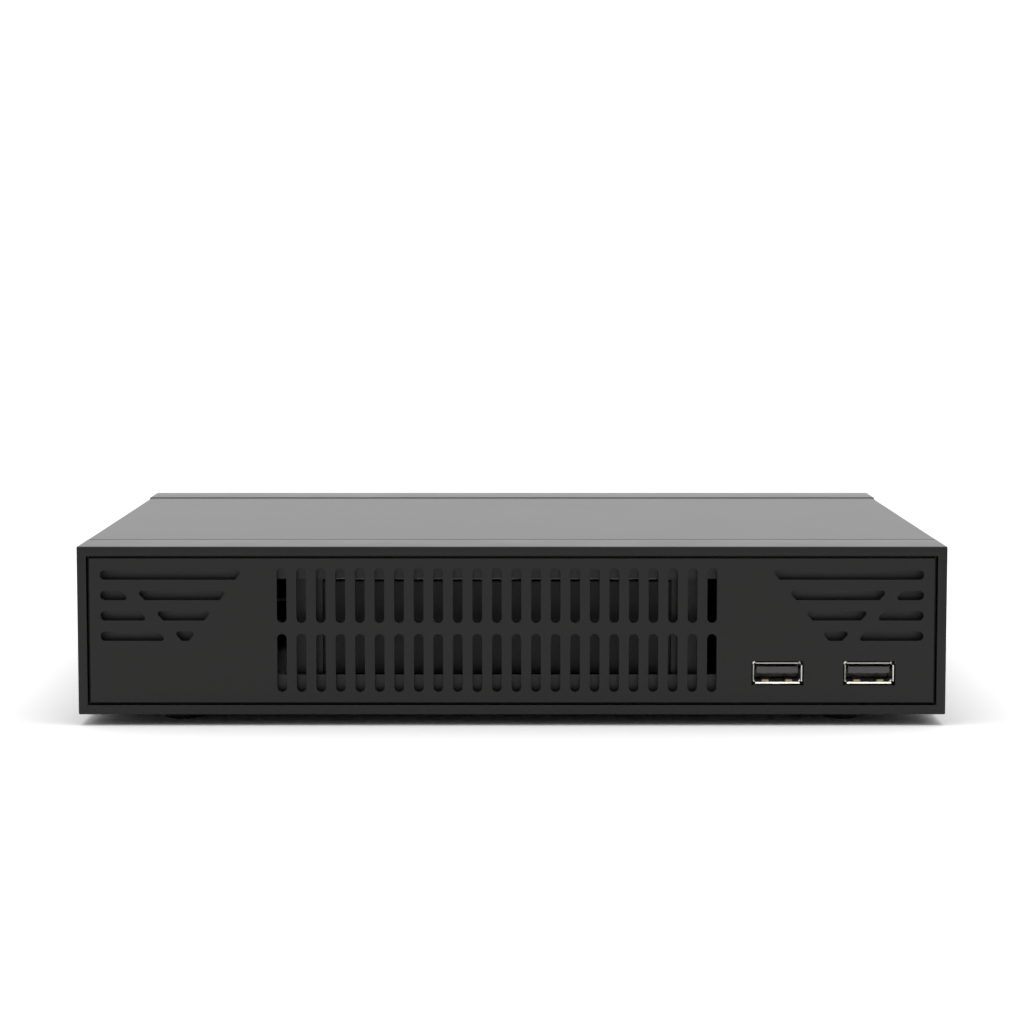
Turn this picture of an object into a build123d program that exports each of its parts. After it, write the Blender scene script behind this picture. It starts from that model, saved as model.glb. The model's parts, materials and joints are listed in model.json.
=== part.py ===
"""Compact video recorder: a flat black box with a plastic end frame at each end, a folded steel cover and
chassis between them, a slotted front panel with two USB sockets, a 3.5 inch hard drive in a cage behind the
slots, a main board with the rear sockets, and a small side fan.

Millimetres. While modelling, x runs to the right seen from the front, y runs back from the front face and
z runs up from the table. PLACE then moves every piece so that the origin is the middle of the footprint.
"""

from build123d import *
import math
import os

# ---------------------------------------------------------------- overall sizes
BODY_WIDTH = 230.0
BODY_DEPTH = 200.0
BODY_HEIGHT = 44.7  # end frames, without the feet
FOOT_HEIGHT = 3.0  # free height under the body
JACK_REACH = 11.0  # how far the video jacks stand out behind the body

# ---------------------------------------------------------------- casing
FRONT_FRAME_DEPTH = 22.5
REAR_FRAME_DEPTH = 21.5
FRAME_WALL = 2.5
FRAME_EDGE = 0.35  # rounding of the frames' outer edges
REAR_FRAME_STEP = 0.25  # how far the rear frame stands out past the cover
SHEET = 1.0  # steel sheet
COVER_BEND = 0.5  # outer radius of the cover's two bends
SEAM = 0.8  # gap between cover and frame
NEST = 0.1  # gap between nested pieces
TONGUE_REACH = 4.0  # frame tongue under the cover
LEDGE_REACH = 1.6
LEDGE_THICK = 2.0
PANEL_THICK = 2.2
PANEL_RECESS = 0.1
PANEL_GAP = 0.5
PANEL_EDGE = 0.3

# ---------------------------------------------------------------- front slots
SLOT_COUNT = 23
SLOT_PITCH = 5.175
SLOT_WIDTH = 2.55
SLOTS_X = -4.0  # middle of the slot field
SLOT_TOP_MARGIN = 2.72  # panel edge to the upper slots
UPPER_SLOT_LENGTH = 14.55
LOWER_SLOT_LENGTH = 15.5
SLOT_BRIDGE = 2.93

# ---------------------------------------------------------------- side vents of the front panel
VENT_ROWS = 4
VENT_PITCH = 5.42
VENT_HEIGHT = 2.5
VENT_TOP_MARGIN = 3.3
VENT_SIDE_MARGIN = 3.1
VENT_LENGTH_LEFT = 35.8  # lower edge of the first row
VENT_LENGTH_RIGHT = 38.2
VENT_SLOPE_LEFT = 0.765  # shortening of the inner ends per mm of drop
VENT_SLOPE_RIGHT = 0.81
VENT_BAND_START = 7.8  # where the plain diagonal band starts, at the foot of the second row
VENT_BAND_SLOPE = 0.9
VENT_BAND_WIDTH = 3.9
VENT_CORNER = 0.65

# ---------------------------------------------------------------- sockets shared by front and rear
USB_WIDTH = 13.1
USB_HEIGHT = 5.72
USB_DEPTH = 14.0
USB_SHELL = 0.45
USB_NOTCH = 1.0  # gap between the mouth's lips at each corner
USB_GAP = 0.35  # shell to the edge of its cut-out
USB_FRONT_X = (70.4, 94.7)
USB_BOARD_REACH = 2.0  # front edge of the board behind the shield's face

# ---------------------------------------------------------------- shield behind the front panel
SHIELD_GAP = 0.2
SHIELD_WINDOW_MARGIN = 1.3  # window past the slot field, each side
SHIELD_WINDOW_TOP = 8.95  # body top to window
SHIELD_WINDOW_HEIGHT = 25.6
FLANGE_REACH = 12.0  # bottom flange past the frame's tongue
BOSS_RADIUS = 2.6

# ---------------------------------------------------------------- main board
BOARD_THICK = 1.6
BOARD_ARM_MARGIN = 7.85  # board past the inner USB socket
BOARD_STRIP_DEPTH = 42.0
BOARD_SIDE_GAP = 4.5  # frame wall to board
STANDOFF_RADIUS = 2.75
SCREW_RADIUS = 1.5  # M3

# ---------------------------------------------------------------- drive and cage
DRIVE_WIDTH = 101.6
DRIVE_LENGTH = 147.0
DRIVE_HEIGHT = 26.1
DRIVE_Z = 9.6  # underside above the body bottom
DRIVE_Y = 11.7
DRIVE_LID = 0.8
DISC_RADIUS = 47.5
DISC_THICK = 1.27
DISC_PITCH = 4.6
DISC_COUNT = 2
HUB_RADIUS = 12.5
CAGE_SHEET = 1.2
GROMMET_LENGTH = 3.0
CAGE_TAB_WIDTH = 8.5
CAGE_LIP = 2.0

# ---------------------------------------------------------------- fan
FAN_SIZE = 40.0
FAN_DEPTH = 10.0
FAN_HOLE_EDGE = 4.0  # screw holes to the fan's edge
FAN_Y = 95.0
FAN_BLADES = 7
RUNNING_GAP = 0.05  # radial play of a shaft in its bearing

# ---------------------------------------------------------------- rear sockets, seen from the front
BNC_X = (100.0, 84.0, 68.0, 52.0)
BNC_RADIUS = 4.83
RCA_X = 36.5
VGA_X = 11.0
HDMI_X = -16.0
USB_REAR_X = -36.0
LAN_X = -56.0
DC_X = -76.5
SWITCH_X = -98.0
VGA_SCREW_SPACING = 24.99
REAR_PANEL_RECESS = 1.0
SWITCH_TILT = 11.0  # degrees between level and either pressed end

# ---------------------------------------------------------------- places that follow from the sizes
HALF_WIDTH = BODY_WIDTH / 2
BODY_TOP = FOOT_HEIGHT + BODY_HEIGHT
COVER_FRONT = FRONT_FRAME_DEPTH + SEAM
COVER_REAR = BODY_DEPTH - REAR_FRAME_DEPTH - SEAM
TONGUE_INSET = SHEET + NEST
FLOOR_TOP = FOOT_HEIGHT + SHEET
CEILING = BODY_TOP - SHEET
WALL_OUTER = HALF_WIDTH - TONGUE_INSET  # outer face of the chassis walls
WALL_INNER = WALL_OUTER - SHEET
INNER_HALF = HALF_WIDTH - FRAME_WALL  # half the frames' opening
PANEL_HALF = INNER_HALF - PANEL_GAP
PANEL_TOP = BODY_TOP - FRAME_WALL - PANEL_GAP
PANEL_BOTTOM = FOOT_HEIGHT + FRAME_WALL + PANEL_GAP
PANEL_BACK = PANEL_RECESS + PANEL_THICK
SHIELD_FRONT = PANEL_BACK + LEDGE_THICK + SHIELD_GAP
SHIELD_BACK = SHIELD_FRONT + SHEET
FLANGE_BOTTOM = FOOT_HEIGHT + FRAME_WALL + NEST
FLANGE_TOP = FLANGE_BOTTOM + SHEET
SHIELD_FLANGE_END = FRONT_FRAME_DEPTH + TONGUE_REACH + FLANGE_REACH
REAR_FLANGE_START = BODY_DEPTH - REAR_FRAME_DEPTH - TONGUE_REACH - FLANGE_REACH
REAR_PLATE_BACK = BODY_DEPTH - REAR_PANEL_RECESS
REAR_PLATE_FRONT = REAR_PLATE_BACK - SHEET
UPPER_SLOT_TOP = PANEL_TOP - SLOT_TOP_MARGIN
LOWER_SLOT_TOP = UPPER_SLOT_TOP - UPPER_SLOT_LENGTH - SLOT_BRIDGE
SLOT_FIELD_HALF = (SLOT_COUNT - 1) * SLOT_PITCH / 2 + SLOT_WIDTH / 2
USB_Z = FOOT_HEIGHT + 11.0
BOARD_TOP = USB_Z - USB_HEIGHT / 2 - 0.02
BOARD_BOTTOM = BOARD_TOP - BOARD_THICK
BOARD_RIGHT = INNER_HALF - BOARD_SIDE_GAP
BOARD_ARM_LEFT = USB_FRONT_X[0] - USB_WIDTH / 2 - BOARD_ARM_MARGIN
BOARD_FRONT = SHIELD_BACK + USB_BOARD_REACH
BOARD_BACK = REAR_PLATE_FRONT - 1.5
STRIP_FRONT = BOARD_BACK - BOARD_STRIP_DEPTH
DRIVE_X = SLOTS_X
DRIVE_BOTTOM = FOOT_HEIGHT + DRIVE_Z
DRIVE_TOP = DRIVE_BOTTOM + DRIVE_HEIGHT
DRIVE_END = DRIVE_Y + DRIVE_LENGTH
CAGE_INNER = DRIVE_WIDTH / 2 + GROMMET_LENGTH
CAGE_OUTER = CAGE_INNER + CAGE_SHEET
FAN_Z = (FLOOR_TOP + CEILING) / 2
FAN_OUTER = -(WALL_INNER - NEST)  # the fan lies against the left wall
PLACE = Pos(0, -(BODY_DEPTH + JACK_REACH) / 2, 0)


# ---------------------------------------------------------------- helpers
def block(x0, x1, y0, y1, z0, z1):
    """Box between two corners."""
    return Pos((x0 + x1) / 2, (y0 + y1) / 2, (z0 + z1) / 2) * Box(x1 - x0, y1 - y0, z1 - z0)


def centred(x, width, y0, y1, z0, z1):
    """Box centred on x."""
    return block(x - width / 2, x + width / 2, y0, y1, z0, z1)


def rod_x(x0, x1, y, z, radius):
    return Pos((x0 + x1) / 2, y, z) * Rot(0, 90, 0) * Cylinder(radius, abs(x1 - x0))


def rod_y(x, y0, y1, z, radius):
    return Pos(x, (y0 + y1) / 2, z) * Rot(90, 0, 0) * Cylinder(radius, abs(y1 - y0))


def rod_z(x, y, z0, z1, radius):
    return Pos(x, y, (z0 + z1) / 2) * Cylinder(radius, abs(z1 - z0))


def slab_y(sketch, y0, y1):
    """Outline drawn in x and z, extruded from y0 to y1."""
    return extrude(Plane.XZ.offset(-y1) * sketch, amount=y1 - y0)


def slab_z(sketch, z0, z1):
    """Outline drawn in x and y, extruded from z0 to z1."""
    return extrude(Plane.XY.offset(z0) * sketch, amount=z1 - z0)


def body_block(y0, y1, inset):
    """The body's cross-section, drawn in by inset on all four sides."""
    half = HALF_WIDTH - inset
    return block(-half, half, y0, y1, FOOT_HEIGHT + inset, BODY_TOP - inset)


def ring(y0, y1, outer_inset, inner_inset):
    return body_block(y0, y1, outer_inset) - body_block(y0 - 1, y1 + 1, inner_inset)


def save(name, *shapes):
    solids = [solid for shape in shapes for solid in shape.solids()]
    export_step(PLACE * Compound(solids), f"parts/{name}.step")


# ---------------------------------------------------------------- end frames and feet
FOOT_RADIUS = 4.5
FOOT_POCKET = 0.5
FOOT_X = 89.0
FOOT_MARGIN = 0.3  # foot to the frame's rear edge
FOOT_FRONT_Y = FRONT_FRAME_DEPTH - FOOT_RADIUS - FOOT_MARGIN
FOOT_REAR_Y = BODY_DEPTH - REAR_FRAME_DEPTH / 2


def foot_places(y):
    return [(-FOOT_X, y), (FOOT_X, y)]


def foot_pockets(y):
    top = FOOT_HEIGHT + FOOT_POCKET
    return [rod_z(x, fy, FOOT_HEIGHT - 1, top, FOOT_RADIUS + NEST) for x, fy in foot_places(y)]


def outer_edges(frame, step, *faces_y):
    """Long outer edges of a frame that stands out by step, and the outer rims of its faces."""
    half = HALF_WIDTH + step
    long_edges = frame.edges().filter_by(Axis.Y).filter_by(lambda e: abs(e.center().X) > half - NEST)
    rims = frame.edges().filter_by(
        lambda e: min(abs(e.center().Y - y) for y in faces_y) < NEST
        and (
            abs(abs(e.center().X) - half) < NEST
            or abs(e.center().Z - BODY_TOP - step) < NEST
            or abs(e.center().Z - FOOT_HEIGHT + step) < NEST
        )
    )
    return long_edges + rims


def front_frame():
    tube = ring(0, FRONT_FRAME_DEPTH, 0, FRAME_WALL)
    tube = fillet(outer_edges(tube, 0, 0), FRAME_EDGE)
    tongue_end = FRONT_FRAME_DEPTH + TONGUE_REACH
    frame = tube + ring(FRONT_FRAME_DEPTH - 1, tongue_end, TONGUE_INSET, FRAME_WALL)
    frame += ring(PANEL_BACK, PANEL_BACK + LEDGE_THICK, FRAME_WALL - 0.5, FRAME_WALL + LEDGE_REACH)
    return frame - foot_pockets(FOOT_FRONT_Y)


def rear_frame():
    start = BODY_DEPTH - REAR_FRAME_DEPTH
    tube = ring(start, BODY_DEPTH, -REAR_FRAME_STEP, FRAME_WALL)
    tube = fillet(outer_edges(tube, REAR_FRAME_STEP, start, BODY_DEPTH), FRAME_EDGE)
    frame = tube + ring(start - TONGUE_REACH, start + 1, TONGUE_INSET, FRAME_WALL)
    ledge_end = REAR_PLATE_FRONT - NEST
    frame += ring(ledge_end - LEDGE_THICK, ledge_end, FRAME_WALL - 0.5, FRAME_WALL + LEDGE_REACH)
    slot_y = (ledge_end - LEDGE_THICK - 1, ledge_end + 1)
    strip_slot = block(-INNER_HALF, INNER_HALF, *slot_y, 0, FLANGE_TOP + NEST)
    bottom_rail = block(-HALF_WIDTH, HALF_WIDTH, start, BODY_DEPTH, 0, FOOT_HEIGHT + FRAME_WALL)
    frame -= strip_slot - bottom_rail
    return frame - foot_pockets(FOOT_REAR_Y)


def rubber_foot(x, y):
    foot = rod_z(x, y, 0, FOOT_HEIGHT + FOOT_POCKET - NEST / 2, FOOT_RADIUS)
    return fillet(foot.edges().group_by(Axis.Z)[0], 0.6)


# ---------------------------------------------------------------- front panel
def vertical_slot(x, top, length):
    return Pos(x, top - length / 2) * Rot(0, 0, 90) * SlotOverall(length, SLOT_WIDTH)


def slot_field():
    shapes = []
    for i in range(SLOT_COUNT):
        x = SLOTS_X + (i - (SLOT_COUNT - 1) / 2) * SLOT_PITCH
        shapes.append(vertical_slot(x, UPPER_SLOT_TOP, UPPER_SLOT_LENGTH))
        shapes.append(vertical_slot(x, LOWER_SLOT_TOP, LOWER_SLOT_LENGTH))
    return Sketch() + shapes


def vent_bar(side, top, corners, round_outer):
    """One bar of a side vent. Corners are (distance in from the outer end, drop below top)."""
    outer = PANEL_HALF - VENT_SIDE_MARGIN
    points = [(side * (outer - u), top - v) for u, v in corners]
    bar = make_face(Polyline(*points, close=True))
    if not round_outer:
        return fillet(bar.vertices(), VENT_CORNER)
    ends = bar.vertices().filter_by(lambda v: abs(abs(v.X) - outer) < NEST)
    bar = fillet(ends, VENT_HEIGHT / 2 - 0.02)
    inner = bar.vertices().filter_by(lambda v: abs(v.X) < outer - VENT_HEIGHT)
    return fillet(inner, VENT_CORNER)


def vent_group(side, length, slope):
    """Rows of bars that narrow downwards, cut by one plain diagonal band below the first row."""
    shapes = []
    top = PANEL_TOP - VENT_TOP_MARGIN
    for row in range(VENT_ROWS):
        drop = row * VENT_PITCH
        foot = drop + VENT_HEIGHT
        end_top = length - slope * (drop - VENT_HEIGHT)
        end_foot = length - slope * (foot - VENT_HEIGHT)
        if row == 0:
            corners = [(0, drop), (end_top, drop), (end_foot, foot), (0, foot)]
            shapes.append(vent_bar(side, top, corners, True))
            continue
        band_foot = VENT_BAND_START + VENT_BAND_SLOPE * (row - 1) * VENT_PITCH
        band_top = band_foot - VENT_BAND_SLOPE * VENT_HEIGHT
        outer_bar = [(0, drop), (band_top, drop), (band_foot, foot), (0, foot)]
        shapes.append(vent_bar(side, top, outer_bar, True))
        inner_bar = [
            (band_top + VENT_BAND_WIDTH, drop),
            (end_top, drop),
            (end_foot, foot),
            (band_foot + VENT_BAND_WIDTH, foot),
        ]
        shapes.append(vent_bar(side, top, inner_bar, False))
    return Sketch() + shapes


def usb_cutout(x, y0, y1):
    half_height = USB_HEIGHT / 2 + USB_GAP
    return centred(x, USB_WIDTH + 2 * USB_GAP, y0, y1, USB_Z - half_height, USB_Z + half_height)


BOSS_PLACES = (
    (SLOTS_X - SLOT_FIELD_HALF - 5.2, PANEL_TOP - 8.0),
    (SLOTS_X - SLOT_FIELD_HALF - 5.2, PANEL_BOTTOM + 6.5),
    (SLOTS_X + SLOT_FIELD_HALF + 4.9, PANEL_TOP - 8.0),
    (SLOTS_X + SLOT_FIELD_HALF + 4.9, PANEL_BOTTOM + 6.5),
    (-PANEL_HALF + 9.0, PANEL_BOTTOM + 6.5),
    (PANEL_HALF - 5.0, PANEL_BOTTOM + 6.5),
)


def front_panel():
    panel = block(-PANEL_HALF, PANEL_HALF, PANEL_RECESS, PANEL_BACK, PANEL_BOTTOM, PANEL_TOP)
    panel = chamfer(panel.faces().sort_by(Axis.Y)[0].edges(), PANEL_EDGE)
    cuts = slot_field()
    cuts += vent_group(-1, VENT_LENGTH_LEFT, VENT_SLOPE_LEFT)
    cuts += vent_group(1, VENT_LENGTH_RIGHT, VENT_SLOPE_RIGHT)
    panel -= slab_y(cuts, -1, PANEL_BACK + 1)
    panel -= [usb_cutout(x, -1, PANEL_BACK + 1) for x in USB_FRONT_X]
    for x, z in BOSS_PLACES:
        panel += rod_y(x, PANEL_BACK - 0.5, SHIELD_FRONT, z, BOSS_RADIUS)
        panel -= rod_y(x, PANEL_RECESS + 1.0, SHIELD_FRONT + 1, z, PILOT_RADIUS + NEST / 2)
    return panel


PILOT_RADIUS = 1.0
PAN_HEAD_RADIUS = 2.5
PAN_HEAD_HEIGHT = 1.6


def panel_screw(x, z):
    shank = rod_y(x, PANEL_RECESS + 1.3, SHIELD_BACK, z, PILOT_RADIUS)
    return shank + rod_y(x, SHIELD_BACK, SHIELD_BACK + PAN_HEAD_HEIGHT, z, PAN_HEAD_RADIUS)


# ---------------------------------------------------------------- shield behind the front panel
def end_plate(y0, y1, flange_y0, flange_y1):
    """Upright sheet inside a frame with one flange folded along the frame's floor."""
    half = min(INNER_HALF, WALL_INNER) - NEST * 2
    plate = block(-half, half, y0, y1, FLANGE_BOTTOM, BODY_TOP - FRAME_WALL - NEST * 2)
    return plate + block(-half, half, flange_y0, flange_y1, FLANGE_BOTTOM, FLANGE_TOP)


FLANGE_SCREW_X = (-100.0, 30.0, 100.0)


def front_shield():
    shield = end_plate(SHIELD_FRONT, SHIELD_BACK, SHIELD_FRONT, SHIELD_FLANGE_END)
    window_half = SLOT_FIELD_HALF + SHIELD_WINDOW_MARGIN
    window_top = BODY_TOP - SHIELD_WINDOW_TOP
    window_bottom = window_top - SHIELD_WINDOW_HEIGHT
    shield -= centred(SLOTS_X, 2 * window_half, SHIELD_FRONT - 1, SHIELD_BACK + 1, window_bottom, window_top)
    shield -= [usb_cutout(x, SHIELD_FRONT - 1, SHIELD_BACK + 1) for x in USB_FRONT_X]
    shield -= [rod_y(x, SHIELD_FRONT - 1, SHIELD_BACK + 1, z, PILOT_RADIUS + NEST) for x, z in BOSS_PLACES]
    hole_y = SHIELD_FLANGE_END - FLANGE_REACH / 2
    return shield - [rod_z(x, hole_y, 0, BODY_TOP, SCREW_RADIUS + NEST) for x in FLANGE_SCREW_X]


# ---------------------------------------------------------------- chassis and cover
CHASSIS_FLANGE_HEIGHT = 16.0
WALL_END_GAP = 0.5
COVER_SCREW_Z = FLOOR_TOP + 6.0
COVER_SCREW_Y = (52.0, 150.0)
COUNTERSINK_RADIUS = 2.8
NUT_RADIUS = 2.8
NUT_THICK = 1.8
SIDE_VENT_COUNT = 16
SIDE_VENT_PITCH = 5.5
SIDE_VENT_WIDTH = 2.4
SIDE_VENT_LENGTH = 22.0


def flange_screw_places():
    front_y = SHIELD_FLANGE_END - FLANGE_REACH / 2
    rear_y = REAR_FLANGE_START + FLANGE_REACH / 2
    return [(x, y) for y in (front_y, rear_y) for x in FLANGE_SCREW_X]


def chassis_tray():
    floor = block(-WALL_OUTER, WALL_OUTER, COVER_FRONT, COVER_REAR, FLOOR_TOP - SHEET, FLOOR_TOP)
    wall_y0 = FRONT_FRAME_DEPTH + TONGUE_REACH + WALL_END_GAP
    wall_y1 = BODY_DEPTH - REAR_FRAME_DEPTH - TONGUE_REACH - WALL_END_GAP
    right_top = FLOOR_TOP + CHASSIS_FLANGE_HEIGHT
    right = block(WALL_INNER, WALL_OUTER, wall_y0, wall_y1, FLOOR_TOP - 0.5, right_top)
    left = block(-WALL_OUTER, -WALL_INNER, wall_y0, wall_y1, FLOOR_TOP - 0.5, CEILING - NEST * 2)
    tray = floor + right + left
    tray += [rod_z(x, y, FLOOR_TOP - 0.5, FLANGE_BOTTOM, 4.0) for x, y in flange_screw_places()]
    tray -= [rod_z(x, y, 0, BODY_TOP, SCREW_RADIUS + NEST / 2) for x, y in flange_screw_places()]
    tray -= rod_x(-WALL_OUTER - 1, -WALL_INNER + 1, FAN_Y, FAN_Z, FAN_BORE)
    tray -= [rod_x(-WALL_OUTER - 1, -WALL_INNER + 1, y, z, FAN_SCREW_RADIUS) for y, z in fan_screw_places()]
    for side in (-1, 1):
        x0, x1 = side * (WALL_INNER - 1), side * (WALL_OUTER + 1)
        tray -= [rod_x(x0, x1, y, COVER_SCREW_Z, SCREW_RADIUS + 0.25) for y in COVER_SCREW_Y]
    tray -= [rod_z(x, y, 0, FLOOR_TOP + 1, SCREW_RADIUS + NEST / 2) for x, y in STANDOFF_PLACES]
    return tray - [rod_z(x, y, 0, FLOOR_TOP + 1, SCREW_RADIUS + NEST / 2) for x, y in CAGE_SCREW_PLACES]


def side_vents(side):
    """A row of upright slots through one side of the cover, with a bar across the middle."""
    cuts = []
    for i in range(SIDE_VENT_COUNT):
        y = FAN_Y + (i - (SIDE_VENT_COUNT - 1) / 2) * SIDE_VENT_PITCH
        half, radius = SIDE_VENT_LENGTH / 2, SIDE_VENT_WIDTH / 2
        x0, x1 = sorted((side * (HALF_WIDTH - 5), side * (HALF_WIDTH + 1)))
        slot = block(x0, x1, y - radius, y + radius, FAN_Z - half, FAN_Z + half)
        ends = [rod_x(x0, x1, y, FAN_Z + end, radius) for end in (-half, half)]
        cuts.append(slot + ends)
    return cuts


def top_cover():
    shell = block(-HALF_WIDTH, HALF_WIDTH, COVER_FRONT, COVER_REAR, FOOT_HEIGHT, BODY_TOP)
    bends = shell.edges().filter_by(Axis.Y).group_by(Axis.Z)[-1]
    shell = fillet(bends, COVER_BEND)
    inner = HALF_WIDTH - SHEET
    hollow = block(-inner, inner, COVER_FRONT - 1, COVER_REAR + 1, FOOT_HEIGHT - 1, CEILING)
    cover = shell - hollow
    cover -= side_vents(-1) + side_vents(1)
    for side in (-1, 1):
        for y in COVER_SCREW_Y:
            cover -= countersunk_screw(side, y, NEST)
    return cover


def countersunk_screw(side, y, grow=0.0):
    """Flat-head screw through one side of the cover; grow makes the hole that it needs."""
    depth = COUNTERSINK_RADIUS - SCREW_RADIUS
    head = Cone(SCREW_RADIUS + grow, COUNTERSINK_RADIUS + grow, depth)
    middle = side * (HALF_WIDTH - depth / 2)
    head = Pos(middle, y, COVER_SCREW_Z) * Rot(0, side * 90, 0) * head
    shank_end = WALL_INNER - NUT_THICK
    return head + rod_x(side * shank_end, middle, y, COVER_SCREW_Z, SCREW_RADIUS + grow)


def cover_screw(side, y):
    face = side * HALF_WIDTH
    screw = countersunk_screw(side, y)
    cross = rod_x(face - side * 0.7, face + side, y, COVER_SCREW_Z, 1.6)
    blades = centred(face, 2.0, y - 0.35, y + 0.35, 0, BODY_TOP)
    blades += centred(face, 2.0, 0, BODY_DEPTH, COVER_SCREW_Z - 0.35, COVER_SCREW_Z + 0.35)
    return screw - (cross & blades)


def clinch_nut(side, y):
    x0 = side * (WALL_INNER - NUT_THICK)
    x1 = side * WALL_INNER
    bore = rod_x(x0 - side, x1 + side, y, COVER_SCREW_Z, SCREW_RADIUS + NEST / 2)
    return rod_x(x0, x1, y, COVER_SCREW_Z, NUT_RADIUS) - bore


def floor_screw(x, y, head_bottom, tip):
    """Pan-head screw that points down."""
    return rod_z(x, y, tip, head_bottom, SCREW_RADIUS) + rod_z(
        x, y, head_bottom, head_bottom + PAN_HEAD_HEIGHT, PAN_HEAD_RADIUS
    )


# ---------------------------------------------------------------- sockets
USB_TONGUE_THICK = 1.84
USB_TONGUE_DROP = 0.72  # inner face of the shell to the tongue


def usb_shell(x, mouth, direction):
    """Open steel shell; direction is 1 where the body lies behind the mouth, -1 where it lies in front."""
    y0, y1 = sorted((mouth, mouth + direction * USB_DEPTH))
    half = USB_HEIGHT / 2
    shell = centred(x, USB_WIDTH, y0, y1, USB_Z - half, USB_Z + half)
    shell = fillet(shell.edges().filter_by(Axis.Y), 0.6)
    c0, c1 = sorted((mouth - direction, mouth + direction * (USB_DEPTH - USB_SHELL)))
    hollow = centred(x, USB_WIDTH - 2 * USB_SHELL, c0, c1, USB_Z - half + USB_SHELL, USB_Z + half - USB_SHELL)
    hollow = fillet(hollow.edges().filter_by(Axis.Y), 0.25)
    shell -= hollow
    n0, n1 = sorted((mouth - direction, mouth + direction * 0.6))
    for side in (-1, 1):
        for level in (-1, 1):
            corner_x, corner_z = x + side * USB_WIDTH / 2, USB_Z + level * half
            shell -= centred(corner_x, USB_NOTCH, n0, n1, corner_z - USB_NOTCH / 2, corner_z + USB_NOTCH / 2)
    return shell


def usb_tongue(x, mouth, direction):
    top = USB_Z + USB_HEIGHT / 2 - USB_SHELL - USB_TONGUE_DROP
    y0, y1 = sorted((mouth + direction * 1.2, mouth + direction * (USB_DEPTH - USB_SHELL - NEST)))
    tongue = centred(x, 11.1, y0, y1, top - USB_TONGUE_THICK, top)
    root, end = USB_DEPTH - 4.0, USB_DEPTH - USB_SHELL - NEST
    r0, r1 = sorted((mouth + direction * root, mouth + direction * end))
    inner = USB_HEIGHT / 2 - USB_SHELL - NEST
    return tongue + centred(x, 12.0, r0, r1, USB_Z - inner, USB_Z + inner)


def usb_contacts(x, mouth, direction):
    """Four contact strips under the tongue."""
    top = USB_Z + USB_HEIGHT / 2 - USB_SHELL - USB_TONGUE_DROP - USB_TONGUE_THICK
    y0, y1 = sorted((mouth + direction * 2.0, mouth + direction * (USB_DEPTH - 4.2)))
    return [centred(x + dx, 1.0, y0, y1, top - 0.3, top) for dx in (-3.5, -1.0, 1.0, 3.5)]


def usb_springs(x, mouth, direction):
    """Two retaining springs on the shell's floor."""
    floor = USB_Z - USB_HEIGHT / 2 + USB_SHELL
    springs = []
    for dx in (-3.1, 3.1):
        y0, y1 = sorted((mouth + direction * 1.6, mouth + direction * 6.0))
        springs.append(centred(x + dx, 1.7, y0, y1, floor, floor + 0.5))
    return springs


# ---------------------------------------------------------------- rear sockets
BNC_Z = BOARD_TOP + 9.0
BNC_HOUSING = 14.5
BNC_COLLAR_RADIUS = 6.2
BNC_BORE_RADIUS = 4.05
HOUSING_BACK = REAR_PLATE_FRONT - 0.3
COLLAR_END = BODY_DEPTH + 0.6
JACK_END = BODY_DEPTH + JACK_REACH
LUG_Y = JACK_END - 5.0
LUG_RADIUS = 0.95
LUG_HEIGHT = 0.75
NECK_END = LUG_Y + LUG_RADIUS + NEST
BNC_NECK_RADIUS = 4.6  # barrel behind and between the lugs
RCA_RADIUS = 4.15
RCA_LOWER_Z = BOARD_TOP + 6.5
RCA_PITCH_Z = 14.0
RCA_END = BODY_DEPTH + 9.0
VGA_Z = BOARD_TOP + 7.0
HDMI_WIDTH = 15.0
HDMI_HEIGHT = 5.55
HDMI_Z = BOARD_TOP + HDMI_HEIGHT / 2 + 0.5
LAN_WIDTH = 16.0
LAN_HEIGHT = 13.4
LAN_Z = BOARD_TOP + LAN_HEIGHT / 2 + 0.02
LAN_DEPTH = 18.0
LAN_PLUG_WIDTH = 11.9
LAN_PLUG_HEIGHT = 8.0
LAN_WALL = 0.8
DC_WIDTH = 9.0
DC_HEIGHT = 11.0
DC_Z = BOARD_TOP + 6.5
DC_BORE = 3.2
DC_PIN = 1.0
SWITCH_WIDTH = 15.0
SWITCH_HEIGHT = 21.0
SWITCH_Z = FOOT_HEIGHT + BODY_HEIGHT / 2 + 1.0
SWITCH_FLANGE = 1.6
AXLE_Y = REAR_PLATE_BACK - 2.5
AXLE_RADIUS = 1.2


def bnc_housing(x):
    body = centred(x, BNC_HOUSING, HOUSING_BACK - 14.0, HOUSING_BACK, BOARD_TOP, BOARD_TOP + 17.0)
    body = chamfer(body.edges().filter_by(Axis.Y).group_by(Axis.Z)[-1], 1.5)
    return body - rod_y(x, HOUSING_BACK - 10.0, HOUSING_BACK + 1, BNC_Z, BNC_COLLAR_RADIUS + NEST)


def bnc_barrel(x):
    barrel = rod_y(x, HOUSING_BACK - 9.8, COLLAR_END, BNC_Z, BNC_COLLAR_RADIUS)
    barrel += rod_y(x, COLLAR_END - 0.5, NECK_END, BNC_Z, BNC_NECK_RADIUS)
    barrel += rod_y(x, NECK_END, JACK_END, BNC_Z, BNC_RADIUS)
    lug_reach = BNC_RADIUS + LUG_HEIGHT
    barrel += rod_z(x, LUG_Y, BNC_Z - lug_reach, BNC_Z + lug_reach, LUG_RADIUS)
    return barrel - rod_y(x, JACK_END - 9.5, JACK_END + 1, BNC_Z, BNC_BORE_RADIUS)


def bnc_insulator(x):
    back = JACK_END - 9.5
    return (
        rod_y(x, back, JACK_END - 6.0, BNC_Z, BNC_BORE_RADIUS - NEST / 2)
        + rod_y(x, back, JACK_END - 0.6, BNC_Z, 2.4)
        - rod_y(x, back - 1, JACK_END + 1, BNC_Z, 1.1)
    )


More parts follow.
